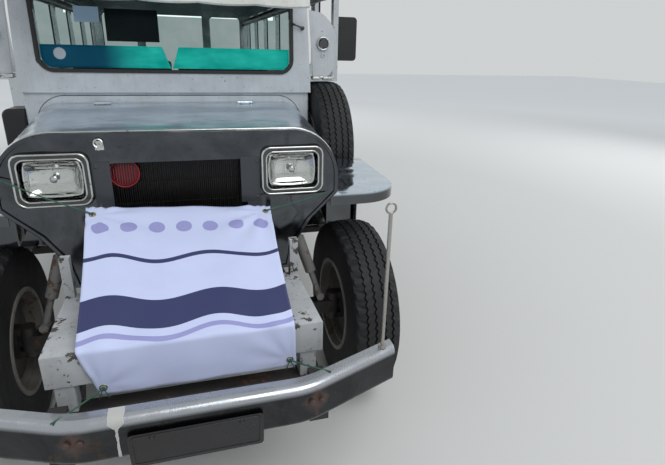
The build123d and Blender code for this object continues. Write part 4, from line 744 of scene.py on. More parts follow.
# %% Banner finish
banner_cloth, shader = start_finish("banner_cloth", roughness=0.55)
flat_map = add_node(shader.id_data, "UVMap", uv_map="flat").outputs["UV"]
sheet_at = parts_of(flat_map)
swell = times(arithmetic("SINE", times(sheet_at["X"], 2 * FULL_TURN)), 0.022)


def wave_band(middle, half):
    """1 inside a band that rolls across the sheet at that height."""
    return arithmetic("LESS_THAN", away_from(sheet_at["Y"], plus(swell, middle)), half)


def dots(middle, rows_high, count, radius):
    """1 inside each of a row of discs."""
    cell_u = away_from(arithmetic("FRACT", times(sheet_at["X"], count)), 0.5)
    cell_v = times(away_from(sheet_at["Y"], middle), rows_high)
    squares = plus(arithmetic("POWER", cell_u, 2.0), arithmetic("POWER", cell_v, 2.0))
    return arithmetic("LESS_THAN", squares, radius**2)


navy, lilac = (44, 50, 96), (148, 150, 200)
dust = use_group(shader, grime, Low=0.5, High=1.1)["Dust"]
face = mixed(dust, (198, 207, 240), (158, 163, 184), 0.18)
face = mixed(dots(0.86, 8.4, 7.0, 0.30), face, lilac)
face = mixed(wave_band(0.66, 0.012), face, navy)
face = mixed(wave_band(0.36, 0.075), face, navy)
face = mixed(wave_band(0.235, 0.012), face, lilac)
surfaced(shader, face, dust, 0.48, 0.70)
weave = add_node(shader.id_data, "TexWave", {"Scale": 260.0, "Vector": flat_map})
bumped(shader, plus(weave.outputs["Fac"], noise(place_of(shader), 45.0, 3.0)), 0.10, 0.0008)

# %% Banner sheet
banner_low, banner_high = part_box("banner")
SHEET_W = banner_high.x - banner_low.x
FOLD = Vector((0, banner_low.y - 0.002, 0.7250))
TOP = Vector((0, banner_high.y, banner_high.z - 0.003))
RUN = (TOP - FOLD).length
SHEET_L = RUN + FOLD.z - banner_low.z
LEAN = math.atan2(TOP.z - FOLD.z, TOP.y - FOLD.y)
SLOPE_OUT = Vector((0, -math.sin(LEAN), math.cos(LEAN)))
# It hangs a little askew, its lower right corner is drawn in, and it is wider at its top.
SKEW, DRAWN_IN, FLARE = 0.036, 0.050, 0.05
CREASE, CREASE_REACH = 0.0038, 0.09
EYELET_X = SHEET_W / 2 - 0.020
HEM_DROP = SHEET_L - 0.022
EYELETS = ((-EYELET_X, 0.038), (EYELET_X, 0.032), (-EYELET_X, HEM_DROP), (EYELET_X, HEM_DROP))
print("banner cut", round(SHEET_W, 3), "by", round(SHEET_L, 3))


def banner_point(share, drop):
    """Where a point of the flat sheet lies: share is across, -0.5 to 0.5, drop is from the top."""
    above = max(1 - drop / RUN, 0)
    x = share * SHEET_W * (1 + FLARE * above - 0.02 * math.sin(math.pi * drop / SHEET_L))
    lift = 0.0
    for eyelet_x, eyelet_drop in EYELETS:
        reach = math.hypot(x - eyelet_x, drop - eyelet_drop) / CREASE_REACH
        fan = math.cos(10 * math.atan2(drop - eyelet_drop, x - eyelet_x))
        lift += CREASE * fan * reach * math.exp(1 - reach)
    if drop < RUN:
        lift -= 0.008 * math.sin(math.pi * drop / RUN) * math.cos(math.pi * share)
        lift += 0.0015 * math.sin(34 * x + 9 * drop)
        base = TOP + (FOLD - TOP) * (drop / RUN)
        base.z -= SKEW * share * above
        away = SLOPE_OUT
    else:
        hanging = (drop - RUN) / (SHEET_L - RUN)
        lift = lift * 0.4 - 0.0045 * hanging * (1 - math.cos(FULL_TURN * x / 0.19)) * 0.5
        lift += 0.003 * hanging
        x += DRAWN_IN * hanging * max(-2 * share, 0)
        base = Vector((0, FOLD.y, FOLD.z - (drop - RUN)))
        away = FORWARD
    return Vector((x, base.y, base.z)) + away * lift


# %% Lay the banner
bm = bmesh.new()
bmesh.ops.create_grid(bm, x_segments=80, y_segments=92, size=0.5)
flat_uv = bm.loops.layers.uv.new("flat")
for face in bm.faces:
    for loop in face.loops:
        loop[flat_uv].uv = (loop.vert.co.x + 0.5, loop.vert.co.y + 0.5)
near_fold = [vert for vert in bm.verts if abs((0.5 - vert.co.y) * SHEET_L - RUN) < 0.012]
for vert in bm.verts:
    vert.co = banner_point(vert.co.x, (0.5 - vert.co.y) * SHEET_L)
bmesh.ops.smooth_vert(bm, verts=near_fold, factor=0.5, use_axis_x=True, use_axis_y=True, use_axis_z=True)
banner = finish_piece("banner_sheet", bm, banner_cloth, replaces=["banner"], smooth=True)
thicken(banner, 0.001)

# %% [markdown]
# Brass eyelets keep the twine from tearing the cloth. Each is a small rolled ring, spun from a
# circle, and a knot of twine with two loose tails sits on it.

# %% Eyelets
eyelet_brass = bare_metal("eyelet_brass", (176, 150, 92), (120, 100, 66), 0.25, 0.05, 0.6)


def add_ring(bm, centre, normal, ring_radius, wire_radius, sides=8, steps=24):
    """A rolled ring about an axis, made by spinning a small circle round it."""
    turn = Vector(normal).to_track_quat("Z", "Y").to_matrix().to_4x4()
    start = Matrix.Translation((ring_radius, 0, 0)) @ Matrix.Rotation(math.pi / 2, 4, "X")
    place = Matrix.Translation(centre) @ turn @ start
    wire = bmesh.ops.create_circle(bm, segments=sides, radius=wire_radius, matrix=place)["verts"]
    spin_round(bm, wire + edges_of(wire), centre, normal, steps)


bm = bmesh.new()
for eyelet_x, eyelet_drop in EYELETS:
    centre = banner_point(eyelet_x / SHEET_W, eyelet_drop)
    add_ring(bm, centre, SLOPE_OUT if eyelet_drop < RUN else FORWARD, 0.0095, 0.0022)
eyelets = finish_piece("banner_eyelets", bm, eyelet_brass, smooth=True)

# %% Twine
twine_green = soft_black("twine_green", (46, 88, 70), (92, 112, 100), 0.7, 900.0, 0.5, 0.3)
TWINE_D = 0.0050
BUMPER_TOP = 0.6225
TWINES = (
    ("twine_upper_right", (-0.600, GRILLE - 0.0115, 1.076), 0, SLOPE_OUT),
    ("twine_upper_left", (0.562, GRILLE - 0.0115, 0.958), 1, SLOPE_OUT),
    ("twine_lower_right", (-0.345, FRONT + 0.022, BUMPER_TOP), 2, FORWARD),
    ("twine_lower_left", (0.382, FRONT + 0.050, BUMPER_TOP), 3, FORWARD),
)
for name, anchor, corner, outward in TWINES:
    eyelet_x, eyelet_drop = EYELETS[corner]
    knot_at = banner_point(eyelet_x / SHEET_W, eyelet_drop) + outward * 0.004
    anchor = Vector(anchor)
    sag = UP * -0.015 * (knot_at - anchor).length
    route = [anchor, anchor.lerp(knot_at, 0.35) + sag, anchor.lerp(knot_at, 0.7) + sag, knot_at]
    curve = bpy.data.curves.new(name, "CURVE")
    curve.dimensions = "3D"
    curve.bevel_depth = TWINE_D / 2
    curve.bevel_resolution = 3
    curve.use_fill_caps = True
    line = curve.splines.new("NURBS")
    line.points.add(len(route) - 1)
    for point, at in zip(line.points, route):
        point.co = (*at, 1)
    line.order_u = 3
    line.use_endpoint_u = True
    line.resolution_u = 12
    curve.materials.append(twine_green)
    twine = add_object(name, curve)
    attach(twine, "body")
    bm = bmesh.new()
    add_ring(bm, knot_at, (knot_at - anchor).normalized(), 0.0042, 0.0019, 6, 12)
    add_ring(bm, knot_at, outward, 0.0046, 0.0019, 6, 12)
    for side in (-1, 1):
        add_rod(bm, knot_at, knot_at + Vector((side * 0.014, -0.004, -0.030)), 0.0016, 6)
    knot = finish_piece(name + "_knot", bm, twine_green, smooth=True)

# %% [markdown]
# ## Lamps
#
# Each headlamp is a sealed unit: a bright bowl, and a glass front pressed with upright flutes that
# spread the beam. The bowl is a grid pushed back in the middle. The glass is a pillow whose flutes
# are real ridges, because they show as stripes of light in the photograph.

# %% Headlamps
lens_low, lens_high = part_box("headlamp_lenses")
BEZEL_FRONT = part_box("headlamp_bezels")[0].y
LAMP_X = lens_high.x - 0.1
LAMP_Z = (lens_low.z + lens_high.z) / 2
LENS_FRONT = lens_low.y
CORNER_PULL = 0.16
FLUTE_PITCH, FLUTE_DEPTH = 0.0095, 0.0007
print("lamps at", round(LAMP_X, 4), "from the middle and", round(LAMP_Z, 4), "up")


def at_lamp(sign, back):
    """A point on a headlamp's axis, that far behind the front of its lens."""
    return Vector((sign * LAMP_X, LENS_FRONT + back, LAMP_Z))


def add_pillow(bm, centre, half_w, half_h, depth_at, columns, rows):
    """A grid facing the front with rounded corners; depth_at gives its Y from its place."""
    for vert in bmesh.ops.create_grid(bm, x_segments=columns, y_segments=rows, size=1.0)["verts"]:
        u, v = vert.co.x, vert.co.y
        x = half_w * u * math.sqrt(1 - CORNER_PULL * v * v)
        z = half_h * v * math.sqrt(1 - CORNER_PULL * u * u)
        vert.co = centre + Vector((x, depth_at(u, v, x), z))


def bowl_depth(u, v, x):
    """The reflector's depth, deepest in the middle."""
    return 0.028 * (1 - u**4) * (1 - v**4)


def glass_depth(u, v, x):
    """The lamp glass bulges forward and carries upright flutes, except at its rim."""
    flute = FLUTE_DEPTH * math.cos(FULL_TURN * x / FLUTE_PITCH) * (1 - u**8) * (1 - v**8)
    return flute - 0.007 * (1 - u * u) * (1 - v * v)


def add_dome(bm, centre, radius, flatness, columns, rows):
    """A ball, flattened along Y."""
    place = Matrix.Translation(centre) @ Matrix.Diagonal((1, flatness, 1, 1))
    bmesh.ops.create_uvsphere(bm, u_segments=columns, v_segments=rows, radius=radius, matrix=place)


# %% Bowls, bulbs and glasses
for sign, side in SIDES:
    bm = bmesh.new()
    add_pillow(bm, at_lamp(sign, 0.017), 0.094, 0.064, bowl_depth, 24, 18)
    thicken(finish_piece(f"headlamp_bowl_{side}", bm, mirror_metal, smooth=True), 0.001)
    bm = bmesh.new()
    add_rod(bm, at_lamp(sign, 0.022), at_lamp(sign, 0.040), 0.013, 20, 0.010)
    add_dome(bm, at_lamp(sign, 0.024), 0.013, 0.5, 20, 10)
    finish_piece(f"headlamp_bulb_{side}", bm, mirror_metal, smooth=True)
    bm = bmesh.new()
    add_pillow(bm, at_lamp(sign, 0.004), 0.0985, 0.0695, glass_depth, 126, 14)
    stands_for = ["headlamp_lenses"] if side == "left" else []
    name = f"headlamp_glass_{side}"
    thicken(finish_piece(name, bm, lamp_glass, "body", stands_for, smooth=True), 0.003, 1.0)

# %% [markdown]
# A bright ring is pressed into each dark bezel, and the same rolled section frames the side
# windows. The helper makes a plain ring and then pulls its four quarters apart, which is how a
# rounded rectangle of tube is bent in a shop: four equal corners and four straights.

# %% Rounded rings
def add_rounded_ring(bm, centre, half_w, half_h, corner, tube, facing="Y", steps=32, sides=8, squash=1.0):
    """A tube bent to a rounded rectangle; facing is the axis that it is seen along."""
    before = set(bm.verts)
    add_ring(bm, (0, 0, 0), (0, 1, 0), corner, tube, sides, steps)
    ring = [vert for vert in bm.verts if vert not in before]
    turn_about_origin(bm, ring, -math.pi / steps, "Y")
    bmesh.ops.scale(bm, vec=(1, squash, 1), verts=ring)
    for vert in ring:
        vert.co.x += math.copysign(half_w - corner, vert.co.x)
        vert.co.z += math.copysign(half_h - corner, vert.co.z)
    if facing == "X":
        turn_about_origin(bm, ring, math.pi / 2, "Z")
    bmesh.ops.translate(bm, vec=centre, verts=ring)
    return ring


bm = bmesh.new()
for sign in SIGNS:
    add_rounded_ring(bm, at_lamp(sign, -0.001), 0.1035, 0.0745, 0.028, 0.0040)
    add_rounded_ring(bm, (sign * LAMP_X, BEZEL_FRONT + 0.0025, LAMP_Z), 0.1195, 0.0905, 0.034, 0.0042)
finish_piece("headlamp_rings", bm, trim_chrome, smooth=True)

# %% [markdown]
# ## The front's small fittings
#
# The face of the shell carries two slate-coloured plates between the lamps and the core, the horn
# looks out from behind the opening, and an over-centre clamp holds the hood shut. Rounded heads
# stand where the real vehicle has bolts and rivets; each is a short tapered button.

# %% Fasteners
def add_button(bm, at, normal, radius, height, sides=10):
    """The head of a rivet or bolt: a short cone with a smaller cap on it."""
    at, normal = Vector(at), Vector(normal).normalized()
    add_rod(bm, at, at + normal * height * 0.55, radius, sides, radius * 0.92)
    add_rod(bm, at + normal * height * 0.5, at + normal * height, radius * 0.85, sides, radius * 0.45)


SWEEP_START, SWEEP_SLOPE = 0.31, 0.2
bm = bmesh.new()
for bolt_x in [pair_x + offset for pair_x in BOLT_PAIRS_X for offset in (-BOLT_OFFSET, BOLT_OFFSET)]:
    bumper_face = FRONT + 0.0002 + max(0, abs(bolt_x) - SWEEP_START) * SWEEP_SLOPE
    add_button(bm, (bolt_x, bumper_face, 0.565), FORWARD, 0.010, 0.006, 14)
finish_piece("bumper_bolts", bm, bumper_metal)

# %% Slate plates beside the core
slate_plate = soft_black("slate_plate", (54, 58, 64), (86, 86, 86), 0.30, 120.0, 0.12, 0.4)
PLATE_OUTER = 0.2955
bm = bmesh.new()
for sign, inner in ((-1, 0.236), (1, 0.222)):
    middle = (sign * (inner + PLATE_OUTER) / 2, GRILLE - 0.0018, 1.025)
    add_block(bm, middle, (PLATE_OUTER - inner, 0.003, 0.178), 0.0012)
    for height in (0.955, 1.095):
        add_button(bm, (sign * 0.283, GRILLE - 0.003, height), FORWARD, 0.006, 0.003)
finish_piece("core_side_plates", bm, slate_plate)

# %% [markdown]
# The horn is a shallow dark bowl behind a red grille of two rings and nine upright bars. The
# bowl's outline is spun about its own axis, and each bar is as long as the round cover allows.

# %% Horn
horn_dark = soft_black("horn_dark", (30, 12, 14), (52, 34, 32), 0.4, 200.0, 0.1)
horn_red = enamel("horn_red", (150, 24, 34), (120, 24, 30), (60, 26, 26), 0.8, 1.2, 0.3, 0.1)
HORN_AT = Vector((-0.194, GRILLE + 0.032, 1.064))
HORN_FACE = ((0.0, -0.012), (0.030, -0.011), (0.044, -0.008), (0.052, -0.004))
HORN_BACK = ((0.052, 0.006), (0.040, 0.018), (0.0, 0.022))
COVER_R, BAR_PITCH = 0.040, 0.0088


def spin_outline(bm, points, centre, axis, steps):
    """Spins an open outline a full turn and merges the points that meet on the axis."""
    outline = [bm.verts.new(at) for at in points]
    chain = [bm.edges.new(pair) for pair in zip(outline, outline[1:])]
    spin_round(bm, outline + chain, centre, axis, steps)
    bmesh.ops.remove_doubles(bm, verts=bm.verts, dist=0.0001)


bm = bmesh.new()
outline = [HORN_AT + Vector((radius, back, 0)) for radius, back in HORN_FACE + HORN_BACK]
spin_outline(bm, outline, HORN_AT, FORWARD, 40)
finish_piece("horn", bm, horn_dark)
bm = bmesh.new()
for ring_r, wire in ((0.0505, 0.0030), (0.0435, 0.0014)):
    add_ring(bm, HORN_AT + FORWARD * 0.0075, FORWARD, ring_r, wire, 8, 40)
for column in range(-4, 5):
    bar_x = column * BAR_PITCH
    bar_length = 2 * math.sqrt(COVER_R**2 - bar_x**2)
    add_block(bm, HORN_AT + Vector((bar_x, -0.0125, 0)), (0.0034, 0.003, bar_length), 0.0008)
finish_piece("horn_bars", bm, horn_red)

# %% Hood clamp and hinge leaves
CLAMP_X = -0.262
bm = bmesh.new()
add_block(bm, (CLAMP_X, GRILLE - 0.0025, 1.172), (0.030, 0.004, 0.034), 0.0015)
add_rod(bm, (CLAMP_X, GRILLE - 0.004, 1.168), (CLAMP_X, GRILLE - 0.020, 1.168), 0.008, 16, 0.010)
add_ring(bm, (CLAMP_X, GRILLE - 0.017, 1.182), (0, -1, 0.2), 0.014, 0.0030)
finish_piece("hood_clamp", bm, trim_chrome)
bm = bmesh.new()
for sign in SIGNS:
    hinge_x = sign * 0.362
    add_block(bm, (hinge_x, HOOD_REAR - 0.058, 1.2176), (0.080, 0.042, 0.0026), 0.001)
    for screw_x in (-0.026, 0.026):
        add_button(bm, (hinge_x + screw_x, HOOD_REAR - 0.060, 1.2185), UP, 0.0055, 0.003)
finish_piece("hood_hinge_leaves", bm, trim_chrome, "hood")

# %% Beads over the arches of the hood, shell and cowl
BEAD_HALF_H = 0.30
hood_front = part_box("hood")[0].y
for name, finish, body, slot, y, half, top, corner, tube, foot in (
    ("hood_lip", trim_chrome, "hood", "chrome", hood_front + 0.0045, 0.610, 1.216, 0.19, 0.0045, 0.975),
    ("shell_bead", trim_chrome, "body", "chrome", GRILLE - 0.0005, 0.600, 1.206, 0.18, 0.0038, 0.965),
    ("cowl_seam", seal_rubber, "body", None, COWL - 0.0004, 0.688, 1.254, 0.14, 0.0016, 1.06),
):
    bm = bmesh.new()
    add_rounded_ring(bm, (0, y, top - BEAD_HALF_H), half, BEAD_HALF_H, corner, tube, steps=48)
    whole = bm.verts[:] + bm.edges[:] + bm.faces[:]
    bmesh.ops.bisect_plane(bm, geom=whole, plane_co=(0, 0, foot), plane_no=(0, 0, -1), clear_outer=True)
    bmesh.ops.holes_fill(bm, edges=bm.edges, sides=12)
    finish_piece(name, bm, finish, body, smooth=True)

# %% [markdown]
# ## Windshield
#
# The glass leans back three degrees in a black rubber gasket. A green film is stuck along its foot
# in two lengths that leave a notch in the middle; it has a faint glow of painted light, and painted
# shade darkens it towards the vehicle's right. A dark route board hangs inside, and two small
# permits are stuck outside. The board and the permits are left blank.

# %% The windshield's plane
WIND_TILT = math.radians(3)
WIND_UP = Vector((0, math.sin(WIND_TILT), math.cos(WIND_TILT)))
WIND_OUT = Vector((0, -math.cos(WIND_TILT), math.sin(WIND_TILT)))
WIND_BASE = Vector((0, COWL - 0.018, 1.270))
GLASS_LOW, GLASS_HALF, GLASS_CORNER, FILM_MARGIN = 1.385, 0.628, 0.062, 0.003
FILM_FOOT, FILM_HEAD, FILM_BACK = 1.392, 1.500, 0.0222


def on_windshield(x, height, out=0.0):
    """A point on the windshield's outer plane, or that far in front of it."""
    return WIND_BASE + Vector((x, 0, 0)) + WIND_UP * (height - WIND_BASE.z) + WIND_OUT * out


def glass_limit(height):
    """Half the width of the glass that shows at that height, with its rounded lower corners."""
    inside = max(GLASS_CORNER - (height - GLASS_LOW), 0)
    return GLASS_HALF - GLASS_CORNER + math.sqrt(GLASS_CORNER**2 - inside**2) - FILM_MARGIN


# %% Film
film_green, shader = start_finish("film_green")
# A faint emission: painted light, because the film is no lamp.
feed_all(shader, {"Transmission Weight": 0.2, "Emission Strength": 0.62})
patches = noise(place_of(shader), 7.0, 4.0, 0.6, stretch=(1, 1, 3))
face = mixed(span(patches, 0.35, 0.7), (0, 192, 184), (60, 226, 214))
# Darker blue towards the vehicle's right: painted shade of the dark cab behind.
face = mixed(span(parts_of(place_of(shader))["X"], -0.16, -0.34), face, (0, 88, 122))
feed_all(shader, {"Base Color": face, "Emission Color": face})
feed(shader.inputs["Roughness"], span(patches, 0.3, 0.7, 0.08, 0.22))

bm = bmesh.new()
for sign, foot_x, head_x in ((-1, -0.012, -0.051), (1, -0.006, 0.031)):
    for vert in bmesh.ops.create_grid(bm, x_segments=30, y_segments=8, size=0.5)["verts"]:
        share, rise = vert.co.x + 0.5, vert.co.y + 0.5
        height = FILM_FOOT + (FILM_HEAD - FILM_FOOT) * rise
        inner = foot_x + (head_x - foot_x) * rise
        outer = sign * glass_limit(height)
        vert.co = on_windshield(inner + (outer - inner) * share, height, -FILM_BACK)
thicken(finish_piece("windshield_film", bm, film_green, smooth=True), 0.0006)

# %% Route board, permits and wiper
board_dark = soft_black("board_dark", (22, 34, 44), (60, 66, 66), 0.4, 80.0, 0.15)
paper_blue = soft_black("paper_blue", (150, 176, 198), (118, 132, 140), 0.6, 300.0, 0.1, 0.4)
paper_white = soft_black("paper_white", (176, 184, 190), (88, 100, 128), 0.6, 60.0, 0.1, 0.7)


def add_card(bm, x_low, x_high, low, high, out, thickness):
    """A flat rectangular card parallel to the windshield, the first thing in its bmesh."""
    add_block(bm, (0, 0, 0), (x_high - x_low, thickness, high - low), min(thickness * 0.3, 0.002))
    turn_about_origin(bm, bm.verts, -WIND_TILT, "X")
    middle = on_windshield((x_low + x_high) / 2, (low + high) / 2, out)
    bmesh.ops.translate(bm, vec=middle, verts=bm.verts)


def add_wind_rod(bm, start, end, radius, sides, tip_radius=None):
    """A rod between two points that are given in the windshield's own plane."""
    add_rod(bm, on_windshield(*start), on_windshield(*end), radius, sides, tip_radius)


bm = bmesh.new()
add_card(bm, -0.314, -0.060, 1.522, 1.676, -0.034, 0.005)
for cup_x in (-0.26, -0.11):
    add_wind_rod(bm, (cup_x, 1.655, -0.0312), (cup_x, 1.655, -FILM_BACK), 0.006, 14, 0.014)
finish_piece("route_board", bm, board_dark)
bm = bmesh.new()
add_card(bm, -0.452, -0.337, 1.607, 1.679, -0.0144, 0.0008)
finish_piece("permit_square", bm, paper_blue)
bm = bmesh.new()
add_wind_rod(bm, (-0.5385, 1.458, -0.0148), (-0.5385, 1.458, -0.0140), 0.028, 32)
finish_piece("permit_round", bm, paper_white)
bm = bmesh.new()
add_wind_rod(bm, (0.700, 1.612, 0.0), (0.700, 1.612, 0.016), 0.011, 16, 0.009)
add_wind_rod(bm, (0.704, 1.610, 0.013), (0.652, 1.628, 0.017), 0.0045, 8)
add_wind_rod(bm, (0.656, 1.627, 0.017), (0.640, 1.634, 0.012), 0.0055, 8)
finish_piece("wiper_stub", bm, moulded_black)

# %% [markdown]
# Each side wing carries a round marker lamp in a bright ring and a small indicator below it, and
# has two brackets with a pin through them at its foot. They are rings, blocks and rods.

# %% Wing fittings
wing_lamp_glass = bare_metal("wing_lamp_glass", (96, 98, 100), (40, 40, 42), 0.03, 0.6, 0.3, depth=0.06)
WING_LAMP_X, WING_LAMP_Z = 0.837, 1.537
bm = bmesh.new()
for sign in SIGNS:
    add_ring(bm, (sign * WING_LAMP_X, BODY_FRONT - 0.0165, WING_LAMP_Z), FORWARD, 0.0335, 0.0045, 8, 32)
    add_ring(bm, (sign * WING_LAMP_X, BODY_FRONT - 0.0065, 1.470), FORWARD, 0.0105, 0.0022, 8, 32)
    add_button(bm, (sign * 0.833, BODY_FRONT - 0.005, 1.606), FORWARD, 0.005, 0.003)
    for bracket_x, bracket_w in ((0.795, 0.046), (0.866, 0.060)):
        add_block(bm, (sign * bracket_x, BODY_FRONT - 0.014, 1.345), (bracket_w, 0.024, 0.020), 0.004, 2)
    pin_y, pin_z = BODY_FRONT - 0.012, 1.351
    add_rod(bm, (sign * 0.765, pin_y, pin_z), (sign * 0.905, pin_y, pin_z), 0.006, 10)
finish_piece("wing_trims", bm, trim_chrome, smooth=True)
bm = bmesh.new()
for sign in SIGNS:
    lamp_at = Vector((sign * WING_LAMP_X, BODY_FRONT - 0.0152, WING_LAMP_Z))
    add_rod(bm, lamp_at, lamp_at + FORWARD * 0.006, 0.031, 28, 0.022)
finish_piece("wing_lamp_fronts", bm, wing_lamp_glass)

# %% [markdown]
# ## Wheels
#
# Each wheel is held by six nuts on washers, round a spun hub cap. They ride on the wheel's own
# body, so they turn with it.

# %% Hubs and nuts
hub_paint = dark_metal("hub_paint", (120, 118, 112), (86, 78, 70), 0.4, 0.45, metallic=0.6)
NUTS, NUT_CIRCLE, NUT_R, NUT_HEIGHT = 6, 0.080, 0.0125, 0.020
CAP_DOME = ((0.0, 0.034), (0.022, 0.033), (0.034, 0.028), (0.041, 0.016))
CAP_FLANGE = ((0.043, 0.004), (0.052, 0.002), (0.052, 0.0))


def add_nut(bm, at, normal):
    """A hexagon nut with a washer under it."""
    at = Vector(at)
    add_rod(bm, at, at + normal * NUT_HEIGHT * 0.25, NUT_R * 1.3, 20)
    add_rod(bm, at + normal * NUT_HEIGHT * 0.2, at + normal * NUT_HEIGHT, NUT_R, 6)


for end, axle_y, stations, disc_face, hub_end in WHEELS:
    for sign, side in SIDES:
        bm = bmesh.new()
        outward = Vector((sign, 0, 0))
        for nut in range(NUTS):
            angle = FULL_TURN * (nut + 0.5) / NUTS
            back, above = NUT_CIRCLE * math.cos(angle), NUT_CIRCLE * math.sin(angle)
            add_nut(bm, (sign * disc_face, axle_y + back, TYRE_R + above), outward)
        cap = [(sign * (hub_end + out), axle_y, TYRE_R + radius) for radius, out in CAP_DOME + CAP_FLANGE]
        spin_outline(bm, cap, (sign * hub_end, axle_y, TYRE_R), outward, 36)
        bmesh.ops.holes_fill(bm, edges=bm.edges, sides=40)
        finish_piece(f"wheel_nuts_{end}_{side}", bm, hub_paint, f"wheel_{end}_{side}")

# %% [markdown]
# ## Sides and rear
#
# The body is sheet with rolled mouldings. Rivets follow the mouldings and the rear wheel's arch, a
# rubber bead frames each window, and the lamps at the rear have domed covers.

# %% Rivets
MOULD_X, RIVET_H, RIVET_PITCH = 0.940, 0.003, 0.0951
ARCH_CLEAR, ARCH_RIVETS = 0.505, 0.476


def add_side_rivet(bm, sign, y, z, radius, tip_radius):
    """A rivet's head on the body's side."""
    add_rod(bm, (sign * MOULD_X, y, z), (sign * (MOULD_X + RIVET_H), y, z), radius, 8, tip_radius)


bm = bmesh.new()
for sign in SIGNS:
    for z in (1.345, 0.980, 0.576):
        y = CAB_REAR + 0.045
        while y < BODY_REAR - 0.03:
            if math.hypot(y - AXLE_REAR, z - TYRE_R) > ARCH_CLEAR:
                add_side_rivet(bm, sign, y, z, 0.0055, 0.0030)
            y += RIVET_PITCH
    for turn in range(5, 176, 10):
        angle = math.radians(turn)
        z = TYRE_R + ARCH_RIVETS * math.sin(angle)
        if z > 0.60:
            add_side_rivet(bm, sign, AXLE_REAR + ARCH_RIVETS * math.cos(angle), z, 0.0050, 0.0028)
finish_piece("side_rivets", bm, side_steel)

# %% Window beads
BAY = (BODY_REAR - CAB_REAR - 0.05) / 5
WINDOW_MID, WINDOW_HALF_H = 1.63, 0.23
BEAD = {"corner": 0.045, "tube": 0.006, "steps": 24, "sides": 6}
bm = bmesh.new()
for sign, side in SIDES:
    windows = [(CAB_REAR + 0.025 + BAY * (index + 0.5), (BAY - 0.05) / 2) for index in range(5)]
    if side == "left":
        windows.append((BODY_FRONT + 0.24, 0.19))
    for y, half in windows:
        add_rounded_ring(bm, (sign * 0.931, y, WINDOW_MID), half, WINDOW_HALF_H, facing="X", **BEAD)
    add_rounded_ring(bm, (sign * 0.62, BODY_REAR + 0.001, WINDOW_MID), 0.19, WINDOW_HALF_H, **BEAD)
finish_piece("window_beads", bm, seal_rubber, smooth=True)

# %% [markdown]
# The tail and turn lamps are domes of red and amber plastic, each a flattened ball in a rolled
# ring. The number plate is blank, with a raised border and two bolts, and leans with the bumper.

# %% Lamp covers and the plate's raised border
for name, finish, lamp_x, slot in (
    ("tail_lamp_covers", red_plastic, 0.81 - 0.0313, "tail_red"),
    ("turn_lamp_covers", amber_plastic, 0.81 + 0.0313, None),
):
    bm = bmesh.new()
    for sign in SIGNS:
        at = Vector((sign * lamp_x, BODY_REAR + 0.0275, 1.18))
        add_dome(bm, at, 0.029, 0.42, 24, 12)
        add_ring(bm, at - FORWARD * 0.0005, -FORWARD, 0.030, 0.0025, 6, 28)
    finish_piece(name, bm, finish, smooth=True)

PLATE_LEAN = math.radians(10)
PLATE_OUT = Vector((0, -math.cos(PLATE_LEAN), -math.sin(PLATE_LEAN)))
PLATE_UP = Vector((0, -math.sin(PLATE_LEAN), math.cos(PLATE_LEAN)))
plate_middle = Vector((0, FRONT - 0.0115, 0.572)) - PLATE_UP * 0.062
bm = bmesh.new()
border = add_rounded_ring(bm, (0, 0, 0), 0.166, 0.053, 0.012, 0.0026, steps=24, squash=0.7)
turn_about_origin(bm, border, PLATE_LEAN, "X")
bmesh.ops.translate(bm, vec=plate_middle + FORWARD * 0.0022, verts=border)
for bolt_x in (-0.115, 0.115):
    add_button(bm, plate_middle + PLATE_UP * 0.046 + Vector((bolt_x, -0.002, 0)), PLATE_OUT, 0.0075, 0.005)
finish_piece("plate_border", bm, plate_metal, smooth=True)

# %% [markdown]
# The mirrors get their glasses, the dash its three dials and three knobs, and the radiator's core
# its thin fins and tubes. The fins are many, so each is a plain bar without bevels.

# %% Mirror glasses and dials
bm = bmesh.new()
for sign in SIGNS:
    add_block(bm, (sign * 1.0045, BODY_FRONT + 0.110, 1.566), (0.103, 0.003, 0.222), 0.0012)
finish_piece("mirror_glasses", bm, mirror_metal)

DASH_REAR = COWL + 0.22
DIALS = ((0.29, 0.036), (0.37, 0.045), (0.45, 0.036))
DIAL_Z, KNOB_Z = 1.205, 1.17
bm = bmesh.new()
for dial_x, radius in DIALS:
    add_ring(bm, (dial_x, DASH_REAR + 0.001, DIAL_Z), -FORWARD, radius, 0.0035, 8, 32)
for knob_x in (0.10, 0.15, 0.20):
    add_rod(bm, (knob_x, DASH_REAR - 0.002, KNOB_Z), (knob_x, DASH_REAR + 0.022, KNOB_Z), 0.009, 14, 0.007)
finish_piece("dash_rings", bm, trim_chrome, smooth=True)
bm = bmesh.new()
for dial_x, radius in DIALS:
    dial_r = radius - 0.002
    face = Vector((dial_x, DASH_REAR + 0.002, DIAL_Z))
    add_rod(bm, face + FORWARD * 0.003, face, dial_r, 32, dial_r * 0.98)
finish_piece("dash_dials", bm, case_black)

# %% Radiator fins
FINS, FIN_PITCH = 58, 0.0076
bm = bmesh.new()
for fin in range(FINS):
    add_block(bm, (-0.2215 + fin * FIN_PITCH, GRILLE + 0.050, 0.915), (0.0016, 0.016, 0.375))
for tube_z in (0.78, 0.86, 0.94, 1.02, 1.10):
    add_block(bm, (-0.005, GRILLE + 0.054, tube_z), (0.452, 0.006, 0.003), 0.0008)
finish_piece("radiator_fins", bm, core_black)

# %% [markdown]
# ## Seats
#
# A padded seat is a cover stuffed with foam. Each pad starts as a bevelled block a little smaller
# than its place, is blown up as cloth so that its faces crown and its sides pull in between the
# corners, and then gets its sewn channels. The swelling is capped, so that a pad lies in its
# place. Pads of one shape are simulated once and then copied along the bench.

# %% Padding
seat_vinyl = soft_black("seat_vinyl", (54, 34, 30), (92, 84, 76), 0.42, 240.0, 0.3, 0.4)
PAD_CAP = 0.011
CHANNELS, CHANNEL_DEEP, CHANNEL_HALF = 4, 0.007, 0.009
LAST_FRAME = 20


